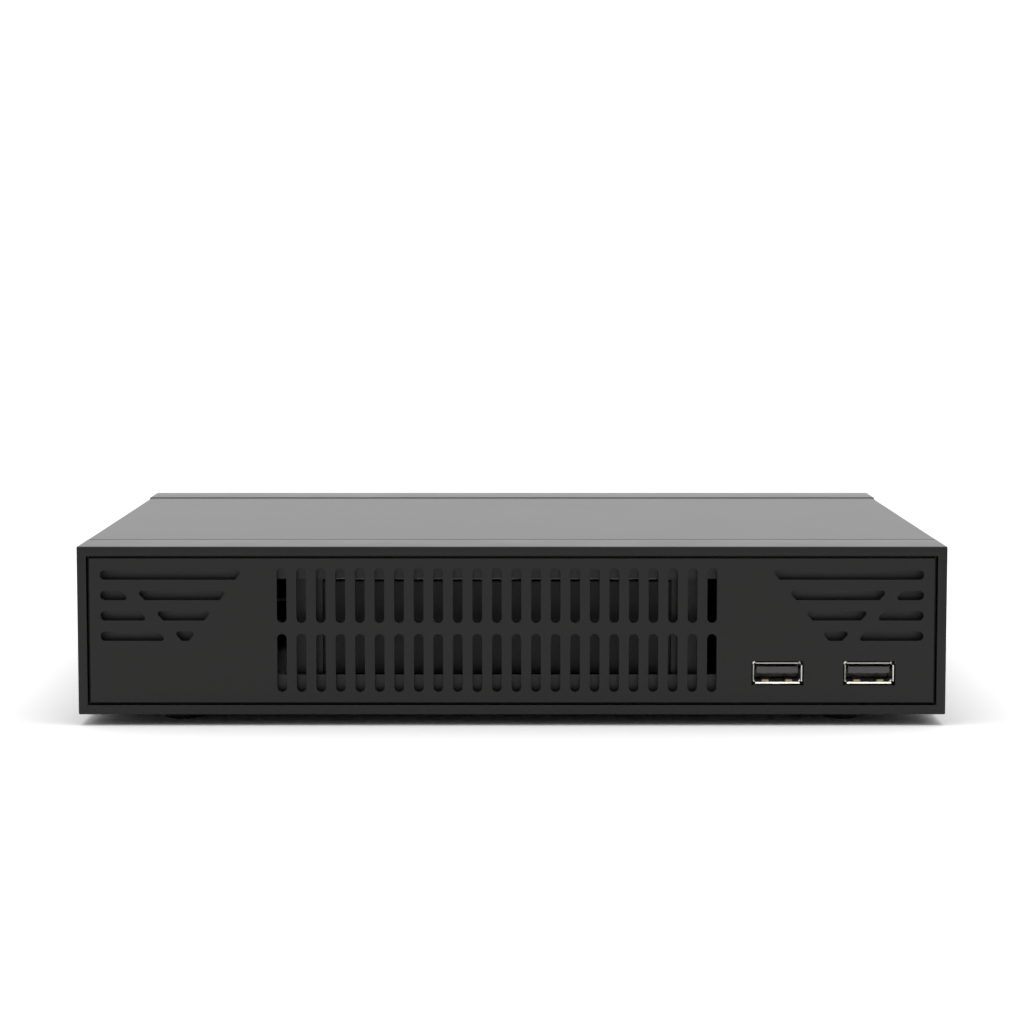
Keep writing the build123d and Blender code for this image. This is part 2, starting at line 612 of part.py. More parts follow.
def bnc_contact(x):
    return rod_y(x, JACK_END - 9.5, JACK_END - 0.8, BNC_Z, 1.05) - rod_y(
        x, JACK_END - 5.0, JACK_END + 1, BNC_Z, 0.45
    )


def rca_heights():
    return (RCA_LOWER_Z, RCA_LOWER_Z + RCA_PITCH_Z)


def rca_housing():
    body = centred(RCA_X, 12.0, HOUSING_BACK - 12.0, HOUSING_BACK, BOARD_TOP, RCA_LOWER_Z + RCA_PITCH_Z + 6.5)
    return body - [rod_y(RCA_X, HOUSING_BACK - 8.0, HOUSING_BACK + 1, z, 3.4) for z in rca_heights()]


def rca_barrel(z):
    barrel = rod_y(RCA_X, HOUSING_BACK, RCA_END, z, RCA_RADIUS)
    barrel += rod_y(RCA_X, HOUSING_BACK, COLLAR_END, z, 5.2)
    return barrel - rod_y(RCA_X, HOUSING_BACK - 1, RCA_END + 1, z, 3.5)


def rca_insulator(z):
    plug = rod_y(RCA_X, HOUSING_BACK - 7.8, RCA_END - 0.8, z, 3.3)
    return plug - rod_y(RCA_X, HOUSING_BACK - 6.0, RCA_END + 1, z, 1.7)


def d_outline(width, height, slant, radius):
    """Outline of a D-shaped shell: wide at the top, narrower at the foot."""
    half, low = width / 2, width / 2 - slant
    points = [(-half, height / 2), (half, height / 2), (low, -height / 2), (-low, -height / 2)]
    face = make_face(Polyline(*points, close=True))
    return fillet(face.vertices(), radius)


def vga_shell():
    flange = centred(VGA_X, 30.8, HOUSING_BACK - 1.0, HOUSING_BACK, VGA_Z - 6.2, VGA_Z + 6.2)
    flange = fillet(flange.edges().filter_by(Axis.Y), 2.0)
    outer = Pos(VGA_X, VGA_Z) * d_outline(16.9, 8.3, 1.4, 1.6)
    inner = Pos(VGA_X, VGA_Z) * d_outline(16.1, 7.5, 1.3, 1.3)
    shell = flange + slab_y(outer, HOUSING_BACK - 0.5, COLLAR_END + 4.6)
    shell -= slab_y(inner, HOUSING_BACK - 2, COLLAR_END + 6)
    return shell - [rod_y(x, HOUSING_BACK - 2, HOUSING_BACK + 1, VGA_Z, 1.6) for x in vga_screw_places()]


def vga_insert():
    """Plastic block with fifteen socket holes in three rows."""
    face = Pos(VGA_X, VGA_Z) * d_outline(15.9, 7.3, 1.3, 1.2)
    insert = slab_y(face, HOUSING_BACK - 2.0, COLLAR_END + 4.2)
    back = centred(VGA_X, 29.0, HOUSING_BACK - 12.0, HOUSING_BACK - 1.1, BOARD_TOP, VGA_Z + 5.4)
    insert += back
    for row in range(3):
        for column in range(5):
            x = VGA_X + (column - 2) * 2.29 + (row - 1) * 0.57
            z = VGA_Z + (row - 1) * 1.98
            insert -= rod_y(x, COLLAR_END - 1.0, COLLAR_END + 6, z, 0.5)
    return insert - [rod_y(x, HOUSING_BACK - 8, HOUSING_BACK + 1, VGA_Z, 1.6) for x in vga_screw_places()]


def vga_screw_places():
    return (VGA_X - VGA_SCREW_SPACING / 2, VGA_X + VGA_SCREW_SPACING / 2)


def vga_jackscrew(x):
    """Hexagonal standoff with a threaded bore for the plug's screw."""
    head = slab_y(Pos(x, VGA_Z) * RegularPolygon(2.6, 6), REAR_PLATE_BACK, REAR_PLATE_BACK + 5.0)
    screw = head + rod_y(x, HOUSING_BACK - 6.0, REAR_PLATE_BACK, VGA_Z, 1.5)
    return screw - rod_y(x, REAR_PLATE_BACK, REAR_PLATE_BACK + 6.0, VGA_Z, VGA_THREAD_RADIUS)


VGA_THREAD_RADIUS = 1.2


def hdmi_face(grow):
    """HDMI outline with its two lower corners cut."""
    half, h = HDMI_WIDTH / 2 + grow, HDMI_HEIGHT / 2 + grow
    points = [(-half, h), (half, h), (half, -0.4), (half - 2.0, -h), (-half + 2.0, -h), (-half, -0.4)]
    face = make_face(Polyline(*points, close=True))
    return Pos(HDMI_X, HDMI_Z) * fillet(face.vertices(), 0.4)


def hdmi_shell():
    shell = slab_y(hdmi_face(0), HOUSING_BACK - 9.5, BODY_DEPTH + 0.2)
    return shell - slab_y(hdmi_face(-0.5), HOUSING_BACK - 9.0, BODY_DEPTH + 1)


def hdmi_tongue():
    bar = centred(HDMI_X, 10.6, HOUSING_BACK - 8.5, BODY_DEPTH - 1.4, HDMI_Z + 0.1, HDMI_Z + 1.5)
    return bar + slab_y(hdmi_face(-0.6), HOUSING_BACK - 8.9, HOUSING_BACK - 6.5)


def lan_shell():
    y0, y1 = HOUSING_BACK - LAN_DEPTH, BODY_DEPTH + 0.2
    half = LAN_HEIGHT / 2
    shell = centred(LAN_X, LAN_WIDTH, y0, y1, LAN_Z - half, LAN_Z + half)
    inner_top = LAN_Z + half - 0.4
    hollow = centred(LAN_X, LAN_WIDTH - LAN_WALL, y0 + 0.4, y1 + 1, LAN_Z - half - 1, inner_top)
    return shell - hollow


def lan_insert():
    """Plastic body with the plug's cavity and the latch notch below it."""
    y0, y1 = HOUSING_BACK - LAN_DEPTH + 0.5, BODY_DEPTH
    half = LAN_HEIGHT / 2
    body = centred(LAN_X, LAN_WIDTH - LAN_WALL - NEST, y0, y1, LAN_Z - half, LAN_Z + half - 0.5)
    plug_top = LAN_Z + half - 2.4
    cavity = centred(LAN_X, LAN_PLUG_WIDTH, y1 - 13.0, y1 + 1, plug_top - LAN_PLUG_HEIGHT, plug_top)
    latch = centred(LAN_X, 6.0, y1 - 11.0, y1 + 1, plug_top - LAN_PLUG_HEIGHT - 1.4, plug_top)
    return body - cavity - latch


def lan_contacts():
    top = LAN_Z + LAN_HEIGHT / 2 - 2.4
    y1 = BODY_DEPTH
    return [centred(LAN_X + (i - 3.5) * 1.02, 0.4, y1 - 12.5, y1 - 4.0, top - 0.5, top) for i in range(8)]


def dc_jack():
    y0, y1 = HOUSING_BACK - 14.0, BODY_DEPTH + 0.2
    jack = centred(DC_X, DC_WIDTH, y0, y1, BOARD_TOP, BOARD_TOP + DC_HEIGHT)
    return jack - rod_y(DC_X, y1 - 9.5, y1 + 1, DC_Z, DC_BORE)


def dc_pin():
    pin = rod_y(DC_X, BODY_DEPTH - 9.3, BODY_DEPTH - 0.4, DC_Z, DC_PIN)
    return fillet(pin.edges().sort_by(Axis.Y)[-1], 0.5)


def switch_housing():
    """Snap-in rocker switch body with its outer flange and the axle across its pocket."""
    z0, z1 = SWITCH_Z - SWITCH_HEIGHT / 2, SWITCH_Z + SWITCH_HEIGHT / 2
    flange = centred(SWITCH_X, SWITCH_WIDTH, REAR_PLATE_BACK, REAR_PLATE_BACK + SWITCH_FLANGE, z0, z1)
    flange = fillet(flange.edges().filter_by(Axis.Y), 1.0)
    y = REAR_PLATE_BACK
    body = centred(SWITCH_X, SWITCH_WIDTH - 2.0, y - 14.0, y + 1, z0 + 1.2, z1 - 1.2)
    housing = flange + body
    pocket = centred(SWITCH_X, SWITCH_WIDTH - 4.4, y - 8.0, y + 3, z0 + 2.4, z1 - 2.4)
    axle_half = SWITCH_WIDTH / 2 - 1.6
    axle = rod_x(SWITCH_X - axle_half, SWITCH_X + axle_half, AXLE_Y, SWITCH_Z, AXLE_RADIUS)
    return housing - pocket + axle


def power_rocker():
    """Rocker pressed in at its lower end: two shallow wings that meet on the pivot line."""
    half = SWITCH_HEIGHT / 2 - 2.4 - 1.5
    width = SWITCH_WIDTH - 4.4 - 0.6
    face_y = REAR_PLATE_BACK + SWITCH_FLANGE + 0.6
    wing = face_y + 1.6
    points = [
        (AXLE_Y - 2.4, 2.6),
        (AXLE_Y - 2.4, -2.6),
        (AXLE_Y + 1.2, -half),
        (wing, -half),
        (face_y, 0),
        (wing, half),
        (AXLE_Y + 1.2, half),
    ]
    profile = make_face(Polyline(*points, close=True))
    rocker = extrude(Plane.YZ * profile, amount=width / 2, both=True)
    rocker = Pos(SWITCH_X, 0, SWITCH_Z) * rocker
    rocker -= rod_x(SWITCH_X - width, SWITCH_X + width, AXLE_Y, SWITCH_Z, AXLE_RADIUS + RUNNING_GAP)
    pivot = Pos(0, AXLE_Y, SWITCH_Z)
    return pivot * Rot(-SWITCH_TILT, 0, 0) * Pos(0, -AXLE_Y, -SWITCH_Z) * rocker


def rear_panel():
    plate = end_plate(REAR_PLATE_FRONT, REAR_PLATE_BACK, REAR_FLANGE_START, REAR_PLATE_BACK)
    y0, y1 = REAR_PLATE_FRONT - 1, REAR_PLATE_BACK + 1
    cuts = [rod_y(x, y0, y1, BNC_Z, BNC_COLLAR_RADIUS + 0.3) for x in BNC_X]
    cuts += [rod_y(RCA_X, y0, y1, z, 5.5) for z in rca_heights()]
    cuts.append(slab_y(Pos(VGA_X, VGA_Z) * d_outline(17.6, 9.0, 1.4, 1.8), y0, y1))
    cuts += [rod_y(x, y0, y1, VGA_Z, 1.6) for x in vga_screw_places()]
    cuts.append(slab_y(hdmi_face(0.3), y0, y1))
    cuts.append(usb_cutout(USB_REAR_X, y0, y1))
    lan_half = LAN_HEIGHT / 2 + 0.3
    cuts.append(centred(LAN_X, LAN_WIDTH + 0.6, y0, y1, LAN_Z - lan_half, LAN_Z + lan_half))
    cuts.append(centred(DC_X, DC_WIDTH + 0.6, y0, y1, BOARD_TOP - 0.3, BOARD_TOP + DC_HEIGHT + 0.3))
    half = SWITCH_HEIGHT / 2 - 1.0
    cuts.append(centred(SWITCH_X, SWITCH_WIDTH - 1.6, y0, y1, SWITCH_Z - half, SWITCH_Z + half))
    cuts += [Pos(x, (y0 + y1) / 2, z) * Rot(90, 0, 0) * Cylinder(1.5, 4) for x, z in rear_vent_places()]
    hole_y = REAR_FLANGE_START + FLANGE_REACH / 2
    cuts += [rod_z(x, hole_y, 0, BODY_TOP, SCREW_RADIUS + NEST) for x in FLANGE_SCREW_X]
    return plate - cuts


REAR_VENT_COLUMNS = 22
REAR_VENT_ROWS = 3
REAR_VENT_PITCH = 4.4


def rear_vent_places():
    """Staggered round holes above the flat sockets."""
    places = []
    for row in range(REAR_VENT_ROWS):
        for column in range(REAR_VENT_COLUMNS - row % 2):
            x = 23.0 - (column + (row % 2) / 2) * REAR_VENT_PITCH
            places.append((x, BODY_TOP - FRAME_WALL - 4.8 - row * REAR_VENT_PITCH * 0.866))
    return places


# ---------------------------------------------------------------- main board and what it carries
ARM_X = (BOARD_ARM_LEFT + BOARD_RIGHT) / 2
STANDOFF_PLACES = (
    (BOARD_ARM_LEFT + 4.5, SHIELD_FLANGE_END + 6.0),
    (BOARD_RIGHT - 4.5, SHIELD_FLANGE_END + 6.0),
    (BOARD_ARM_LEFT + 4.5, 110.0),
    (BOARD_RIGHT - 4.5, 110.0),
    (BOARD_RIGHT - 4.5, STRIP_FRONT + 3.8),
    (-BOARD_RIGHT + 4.5, STRIP_FRONT + 3.8),
    (18.0, STRIP_FRONT + 3.8),
)
CHIP_THICK = 1.4
HEATSINK_SIZE = 34.0
HEATSINK_BASE = 2.5
HEATSINK_HEIGHT = 12.0
HEATSINK_FINS = 9
SOC_Y = 84.0


def main_board():
    arm = block(BOARD_ARM_LEFT, BOARD_RIGHT, BOARD_FRONT, BOARD_BACK, BOARD_BOTTOM, BOARD_TOP)
    board = arm + block(-BOARD_RIGHT, BOARD_RIGHT, STRIP_FRONT, BOARD_BACK, BOARD_BOTTOM, BOARD_TOP)
    return board - [rod_z(x, y, 0, BODY_TOP, SCREW_RADIUS + NEST) for x, y in STANDOFF_PLACES]


def standoff(x, y):
    return rod_z(x, y, FLOOR_TOP, BOARD_BOTTOM, STANDOFF_RADIUS) - rod_z(
        x, y, 0, BODY_TOP, SCREW_RADIUS + NEST / 2
    )


def soc_package():
    half = 11.5
    return block(ARM_X - half, ARM_X + half, SOC_Y - half, SOC_Y + half, BOARD_TOP, BOARD_TOP + CHIP_THICK)


def soc_heatsink():
    half = HEATSINK_SIZE / 2
    z0 = BOARD_TOP + CHIP_THICK + 0.05
    sink = block(ARM_X - half, ARM_X + half, SOC_Y - half, SOC_Y + half, z0, z0 + HEATSINK_BASE)
    pitch = (HEATSINK_SIZE - 1.2) / (HEATSINK_FINS - 1)
    for i in range(HEATSINK_FINS):
        x = ARM_X - half + 0.6 + i * pitch
        sink += centred(x, 1.2, SOC_Y - half, SOC_Y + half, z0 + 1, z0 + HEATSINK_HEIGHT)
    return sink


def memory_chips():
    return [
        centred(ARM_X + dx, 9.0, SOC_Y + 21.0, SOC_Y + 34.0, BOARD_TOP, BOARD_TOP + 1.1) for dx in (-8.0, 8.0)
    ]


def decoder_chips():
    """Video input chips in front of the video jacks, and the network transformer."""
    y = STRIP_FRONT
    chips = [centred(x, 10.0, y + 8, y + 18, BOARD_TOP, BOARD_TOP + 1.2) for x in (68.0, 88.0)]
    chips.append(centred(LAN_X, 12.0, y + 11, y + 19, BOARD_TOP, BOARD_TOP + 4.0))
    return chips


def capacitors():
    """Upright electrolytic capacitors."""
    rear_y = STRIP_FRONT + 16.5
    places = (
        (BOARD_ARM_LEFT + 6.0, 58.0),
        (BOARD_ARM_LEFT + 16.0, 56.0),
        (BOARD_RIGHT - 7.0, 58.0),
        (-BOARD_RIGHT + 15.0, rear_y),
        (-BOARD_RIGHT + 24.0, rear_y),
    )
    cans = []
    for x, y in places:
        can = rod_z(x, y, BOARD_TOP, BOARD_TOP + 11.0, 4.0)
        cans.append(fillet(can.edges().group_by(Axis.Z)[-1], 0.5))
    return cans


def inductors():
    places = ((-BOARD_RIGHT + 38.0, STRIP_FRONT + 16.5), (ARM_X + 6.0, 56.0))
    coils = []
    for x, y in places:
        coil = centred(x, 10.0, y - 5.0, y + 5.0, BOARD_TOP, BOARD_TOP + 5.0)
        coils.append(chamfer(coil.edges().filter_by(Axis.Z), 1.5))
    return coils


CELL_X = ARM_X
CELL_Y = 137.0
CELL_RADIUS = 10.0
CELL_THICK = 3.2


def cell_holder():
    holder = rod_z(CELL_X, CELL_Y, BOARD_TOP, BOARD_TOP + 5.0, CELL_RADIUS + 1.6)
    return holder - rod_z(CELL_X, CELL_Y, BOARD_TOP + 1.2, BODY_TOP, CELL_RADIUS + NEST)


def coin_cell():
    cell = rod_z(CELL_X, CELL_Y, BOARD_TOP + 1.2, BOARD_TOP + 1.2 + CELL_THICK, CELL_RADIUS)
    return fillet(cell.edges().group_by(Axis.Z)[-1], 0.5)


# ---------------------------------------------------------------- hard drive
DISC_Y = DRIVE_Y + DRIVE_WIDTH / 2 - 0.3
DISC_CAVITY_RADIUS = DISC_RADIUS + 1.2
CAVITY_FLOOR = DRIVE_BOTTOM + 6.5
LOWER_DISC_Z = CAVITY_FLOOR + 4.5
PIVOT_X = DRIVE_X + 28.0
PIVOT_Y = DISC_Y + 66.0
ARM_LENGTH = 56.0
ARM_THICK = 0.9
ARM_PARK = 8.0  # degrees off the line from pivot to spindle, where the heads rest by the hub
SPINDLE_POST = 3.0
PIVOT_POST = 2.5
SIDE_HOLE_Z = DRIVE_BOTTOM + 6.35
SIDE_HOLES_Y = (DRIVE_END - 28.5, DRIVE_END - 130.1)
SIDE_HOLE_RADIUS = 1.65
SIDE_HOLE_DEPTH = 4.0
LID_BOTTOM = DRIVE_TOP - DRIVE_LID
DRIVE_SOCKET_X = DRIVE_X - 14.0
DRIVE_SOCKET_WIDTH = 40.0


def disc_levels():
    return [LOWER_DISC_Z + i * DISC_PITCH for i in range(DISC_COUNT)]


def drive_casting():
    half = DRIVE_WIDTH / 2
    casting = block(DRIVE_X - half, DRIVE_X + half, DRIVE_Y, DRIVE_END, DRIVE_BOTTOM, LID_BOTTOM)
    casting = fillet(casting.edges().filter_by(Axis.Z), 3.0)
    casting = chamfer(casting.faces().sort_by(Axis.Z)[-1].edges(), 0.6)
    casting -= rod_z(DRIVE_X, DISC_Y, CAVITY_FLOOR, LID_BOTTOM + 1, DISC_CAVITY_RADIUS)
    casting -= block(DRIVE_X - 16, DRIVE_X + 47.5, DISC_Y + 20, DRIVE_END - 4.5, CAVITY_FLOOR, LID_BOTTOM + 1)
    casting += rod_z(DRIVE_X, DISC_Y, CAVITY_FLOOR - 1, LID_BOTTOM - 1.5, SPINDLE_POST)
    casting += rod_z(PIVOT_X, PIVOT_Y, CAVITY_FLOOR - 1, LID_BOTTOM - 1.5, PIVOT_POST)
    underside = block(
        DRIVE_X - 42, DRIVE_X + 42, DISC_Y + 2, DRIVE_END + 1, DRIVE_BOTTOM - 1, DRIVE_BOTTOM + 3.4
    )
    casting -= underside
    for side in (-1, 1):
        for y in SIDE_HOLES_Y:
            x0 = DRIVE_X + side * (half - SIDE_HOLE_DEPTH)
            casting -= rod_x(x0, DRIVE_X + side * (half + 1), y, SIDE_HOLE_Z, SIDE_HOLE_RADIUS)
    socket_half = DRIVE_SOCKET_WIDTH / 2 + 0.4
    casting -= block(
        DRIVE_SOCKET_X - socket_half,
        DRIVE_SOCKET_X + socket_half,
        DRIVE_END - 9.0,
        DRIVE_END + 1,
        DRIVE_BOTTOM - 1,
        DRIVE_BOTTOM + 6.0,
    )
    return casting - [rod_z(x, y, LID_BOTTOM - 3.0, LID_BOTTOM + 1, 0.9) for x, y in lid_screw_places()]


def lid_screw_places():
    half = DRIVE_WIDTH / 2 - 3.2
    ends = (DRIVE_Y + 3.6, DRIVE_END - 2.6)
    return [(DRIVE_X + side * half, y) for y in ends for side in (-1, 1)]


def drive_lid():
    half = DRIVE_WIDTH / 2 - 0.6
    lid = block(DRIVE_X - half, DRIVE_X + half, DRIVE_Y + 0.6, DRIVE_END - 0.6, LID_BOTTOM, DRIVE_TOP)
    lid = fillet(lid.edges().filter_by(Axis.Z), 2.6)
    recess = rod_z(DRIVE_X, DISC_Y, DRIVE_TOP - 0.3, DRIVE_TOP + 1, 40.0)
    recess -= rod_z(DRIVE_X, DISC_Y, DRIVE_TOP - 1, DRIVE_TOP + 1, 12.0)
    lid -= recess
    return lid - [rod_z(x, y, LID_BOTTOM - 1, DRIVE_TOP + 1, 1.0) for x, y in lid_screw_places()]


def lid_screw(x, y):
    return rod_z(x, y, LID_BOTTOM - 2.6, DRIVE_TOP, 0.85) + rod_z(x, y, DRIVE_TOP, DRIVE_TOP + 0.8, 1.7)


def spindle_hub():
    top = disc_levels()[-1] + DISC_THICK + 1.6
    hub = rod_z(DRIVE_X, DISC_Y, CAVITY_FLOOR + 0.5, top, HUB_RADIUS)
    hub += rod_z(DRIVE_X, DISC_Y, top - 1.0, top, HUB_RADIUS + 2.0)
    return hub - rod_z(DRIVE_X, DISC_Y, CAVITY_FLOOR - 1, top + 1, SPINDLE_POST + RUNNING_GAP)


def platter(z):
    disc = rod_z(DRIVE_X, DISC_Y, z, z + DISC_THICK, DISC_RADIUS)
    return disc - rod_z(DRIVE_X, DISC_Y, z - 1, z + DISC_THICK + 1, HUB_RADIUS + 0.03)


def head_actuator():
    """Comb of thin arms above, between and below the discs, with the coil behind the pivot."""
    gap = (DISC_PITCH - DISC_THICK - ARM_THICK) / 2
    levels = [disc_levels()[0] - gap - ARM_THICK] + [z + DISC_THICK + gap for z in disc_levels()]
    arm_points = [(5.5, 3), (5.5, -3), (-1.8, -ARM_LENGTH), (-4.6, -ARM_LENGTH), (-5.5, 3)]
    arm_outline = make_face(Polyline(*arm_points, close=True))
    coil_outline = make_face(Polyline((-5, 2), (5, 2), (10, 22), (-10, 22), close=True))
    bottom, top = levels[0], levels[-1] + ARM_THICK
    comb = rod_z(0, 0, bottom, top, 7.0)
    for z in levels:
        comb += slab_z(arm_outline, z, z + ARM_THICK)
    comb += slab_z(coil_outline, COIL_BOTTOM, COIL_BOTTOM + COIL_THICK)
    comb -= rod_z(0, 0, bottom - 1, top + 1, PIVOT_POST + RUNNING_GAP)
    to_spindle = math.degrees(math.atan2(DISC_Y - PIVOT_Y, DRIVE_X - PIVOT_X))
    return Pos(PIVOT_X, PIVOT_Y, 0) * Rot(0, 0, to_spindle + 90 + ARM_PARK) * comb


COIL_THICK = 1.8
COIL_BOTTOM = disc_levels()[0] + 2.0
YOKE_THICK = 2.6
YOKE_GAP = 1.0


def magnet_yokes():
    """Two steel plates with the coil's air gap between them, joined by posts clear of the coil's sweep."""
    left, right = -25.0, 13.0
    points = [(left, 11), (0, 8.2), (right, 11), (right + 1.5, 24), (left, 24)]
    outline = make_face(Polyline(*points, close=True))
    lower = slab_z(outline, CAVITY_FLOOR, COIL_BOTTOM - YOKE_GAP)
    upper_z = COIL_BOTTOM + COIL_THICK + YOKE_GAP
    upper = slab_z(outline, upper_z, upper_z + YOKE_THICK)
    return [Pos(PIVOT_X, PIVOT_Y, 0) * lower, Pos(PIVOT_X, PIVOT_Y, 0) * upper]


def yoke_post():
    """Post that carries the upper yoke on the lower one."""
    x, y = PIVOT_X - 22.0, PIVOT_Y + 21.0
    return rod_z(x, y, COIL_BOTTOM - YOKE_GAP, COIL_BOTTOM + COIL_THICK + YOKE_GAP, 1.8)


def drive_board():
    return block(
        DRIVE_X - 41.5, DRIVE_X + 41.5, DISC_Y + 3, DRIVE_END - 0.5, DRIVE_BOTTOM + 1.2, DRIVE_BOTTOM + 2.8
    ) - block(
        DRIVE_SOCKET_X - DRIVE_SOCKET_WIDTH / 2 - 0.5,
        DRIVE_SOCKET_X + DRIVE_SOCKET_WIDTH / 2 + 0.5,
        DRIVE_END - 8.0,
        DRIVE_END + 1,
        DRIVE_BOTTOM,
        DRIVE_BOTTOM + 4,
    )


def drive_socket():
    """Combined data and power socket at the drive's rear end."""
    x, width = DRIVE_SOCKET_X, DRIVE_SOCKET_WIDTH
    z0, z1 = DRIVE_BOTTOM + 0.6, DRIVE_BOTTOM + 5.6
    body = centred(x, width, DRIVE_END - 7.6, DRIVE_END - 0.4, z0, z1)
    mouth = centred(x, width - 2, DRIVE_END - 5.4, DRIVE_END + 1, z0 + 0.8, z1 - 0.8)
    blade = centred(x, width - 6, DRIVE_END - 6, DRIVE_END - 1.2, z0 + 1.9, z1 - 1.9)
    return body - mouth + blade


# ---------------------------------------------------------------- drive cage
CAGE_FOOT_Y0 = SHIELD_FLANGE_END + 2.0
CAGE_FOOT_Y1 = DRIVE_END - 8.0
CAGE_TAB_Y = DRIVE_Y - 0.5 - CAGE_SHEET
CAGE_SCREW_PLACES = tuple(
    (DRIVE_X + side * (CAGE_OUTER - 14.0), y)
    for y in (CAGE_FOOT_Y0 + 8.0, CAGE_FOOT_Y1 - 8.0)
    for side in (-1, 1)
)


def drive_cage():
    """Channel that carries the drive: base screwed to the floor, two walls, and stop tabs at the front."""
    base = centred(DRIVE_X, 2 * CAGE_OUTER, CAGE_FOOT_Y0, CAGE_FOOT_Y1, FLOOR_TOP, FLOOR_TOP + CAGE_SHEET)
    cage = base - [rod_z(x, y, 0, BODY_TOP, SCREW_RADIUS + NEST) for x, y in CAGE_SCREW_PLACES]
    cage -= centred(DRIVE_X, 60.0, CAGE_FOOT_Y0 + 22, CAGE_FOOT_Y1 - 22, 0, BODY_TOP)
    wall_top = DRIVE_TOP + 0.4
    for side in (-1, 1):
        x0, x1 = sorted((DRIVE_X + side * CAGE_INNER, DRIVE_X + side * CAGE_OUTER))
        cage += block(x0, x1, CAGE_FOOT_Y0, CAGE_FOOT_Y1, FLOOR_TOP, wall_top)
        cage += block(x0, x1, CAGE_TAB_Y, CAGE_FOOT_Y0 + 1, FLANGE_TOP + 1.5, wall_top)
        t0, t1 = sorted((DRIVE_X + side * (CAGE_OUTER - CAGE_TAB_WIDTH), DRIVE_X + side * CAGE_OUTER))
        tab_z0 = FLANGE_TOP + 1.5
        cage += block(t0, t1, CAGE_TAB_Y, CAGE_TAB_Y + CAGE_SHEET, tab_z0, wall_top)
        inner = CAGE_OUTER - CAGE_TAB_WIDTH
        l0, l1 = sorted((DRIVE_X + side * inner, DRIVE_X + side * (inner + CAGE_SHEET)))
        cage += block(l0, l1, CAGE_TAB_Y - CAGE_LIP, CAGE_TAB_Y + 0.5, tab_z0, wall_top)
        for y in SIDE_HOLES_Y:
            cage -= rod_x(x0 - 1, x1 + 1, y, SIDE_HOLE_Z, SIDE_HOLE_RADIUS + 0.5)
    return cage


def grommet(side, y):
    x0 = DRIVE_X + side * (DRIVE_WIDTH / 2 + 0.02)
    x1 = DRIVE_X + side * (CAGE_INNER - 0.02)
    ring_body = rod_x(x0, x1, y, SIDE_HOLE_Z, 4.6)
    return ring_body - rod_x(x0 - side, x1 + side, y, SIDE_HOLE_Z, SIDE_HOLE_RADIUS + 0.3)


def drive_screw(side, y):
    tip = DRIVE_X + side * (DRIVE_WIDTH / 2 - SIDE_HOLE_DEPTH + 0.5)
    seat = DRIVE_X + side * CAGE_OUTER
    shank = rod_x(tip, seat, y, SIDE_HOLE_Z, SIDE_HOLE_RADIUS - NEST / 2)
    return shank + rod_x(seat, seat + side * 1.8, y, SIDE_HOLE_Z, 3.4)


# ---------------------------------------------------------------- leads inside the case
HEADER_Y = STRIP_FRONT + 24.0
DATA_LEAD = (DRIVE_SOCKET_X - 11.0, 8.0, 1.6)  # middle, width and thickness
POWER_LEAD = (DRIVE_SOCKET_X + 9.0, 12.0, 2.2)
PLUG_LENGTH = 9.0
PLUG_Z = DRIVE_BOTTOM + 3.1
HEADER_TOP = BOARD_TOP + 12.0
FAN_LEAD_RADIUS = 1.1
FAN_HEADER = (-BOARD_RIGHT + 16.0, STRIP_FRONT + 5.0)


def drive_plug(x, width):
    """Plug in the drive's socket, clear of the socket's blade."""
    y0 = DRIVE_END + NEST
    return centred(x, width, y0, y0 + PLUG_LENGTH, PLUG_Z - 2.4, PLUG_Z + 2.4)


def board_header(x, width):
    return centred(x, width, HEADER_Y - 3.0, HEADER_Y + 3.0, BOARD_TOP, HEADER_TOP)


def drive_lead(x, width, thickness):
    """Flat lead from the back of the drive's plug, up and over into the plug on the board."""
    start = DRIVE_END + NEST + PLUG_LENGTH
    points = [
        (x, start, PLUG_Z),
        (x, start + 4.5, PLUG_Z),
        (x, start + 4.5, HEADER_TOP + 9.0),
        (x, HEADER_Y, HEADER_TOP + 7.5),
        (x, HEADER_Y, HEADER_TOP),
    ]
    path = FilletPolyline(*points, radius=[2.4, 2.1, 2.1])
    section = Plane(origin=points[0], x_dir=(1, 0, 0), z_dir=(0, 1, 0)) * Rectangle(width, thickness)
    return sweep(section, path=path)


def fan_plug():
    x, y = FAN_HEADER
    return centred(x, 7.5, y - 3.0, y + 3.0, BOARD_TOP, BOARD_TOP + 7.0)


def fan_lead():
    """Round lead from the fan's lower rear corner along the left wall to its plug on the board."""
    x, y = FAN_HEADER
    start = FAN_Y + FAN_SIZE / 2
    z = FLOOR_TOP + 7.0
    top = BOARD_TOP + 7.0
    points = [
        (FAN_OUTER + 5.0, start, z),
        (FAN_OUTER + 5.0, start + 14.0, z),
        (FAN_OUTER + 7.0, y - 14.0, top + 7.0),
        (x, y, top + 12.0),
        (x, y, top),
    ]
    path = FilletPolyline(*points, radius=[12.0, 12.0, 5.0])
    section = Plane(origin=points[0], z_dir=(0, 1, 0)) * Circle(FAN_LEAD_RADIUS)
    return sweep(section, path=path)


# ---------------------------------------------------------------- fan
FAN_WALL = 1.2  # thinnest wall beside the bore
FAN_BORE = FAN_SIZE / 2 - FAN_WALL
FAN_SCREW_RADIUS = 1.6
FAN_HUB_RADIUS = 10.5
FAN_TIP_GAP = 0.6
FAN_BLADE_RADIUS = FAN_BORE - FAN_TIP_GAP
FAN_STRUT = 1.8
FAN_SHAFT = 1.0


def fan_screw_places():
    half = FAN_SIZE / 2 - FAN_HOLE_EDGE
    return [(FAN_Y + dy, FAN_Z + dz) for dy in (-half, half) for dz in (-half, half)]


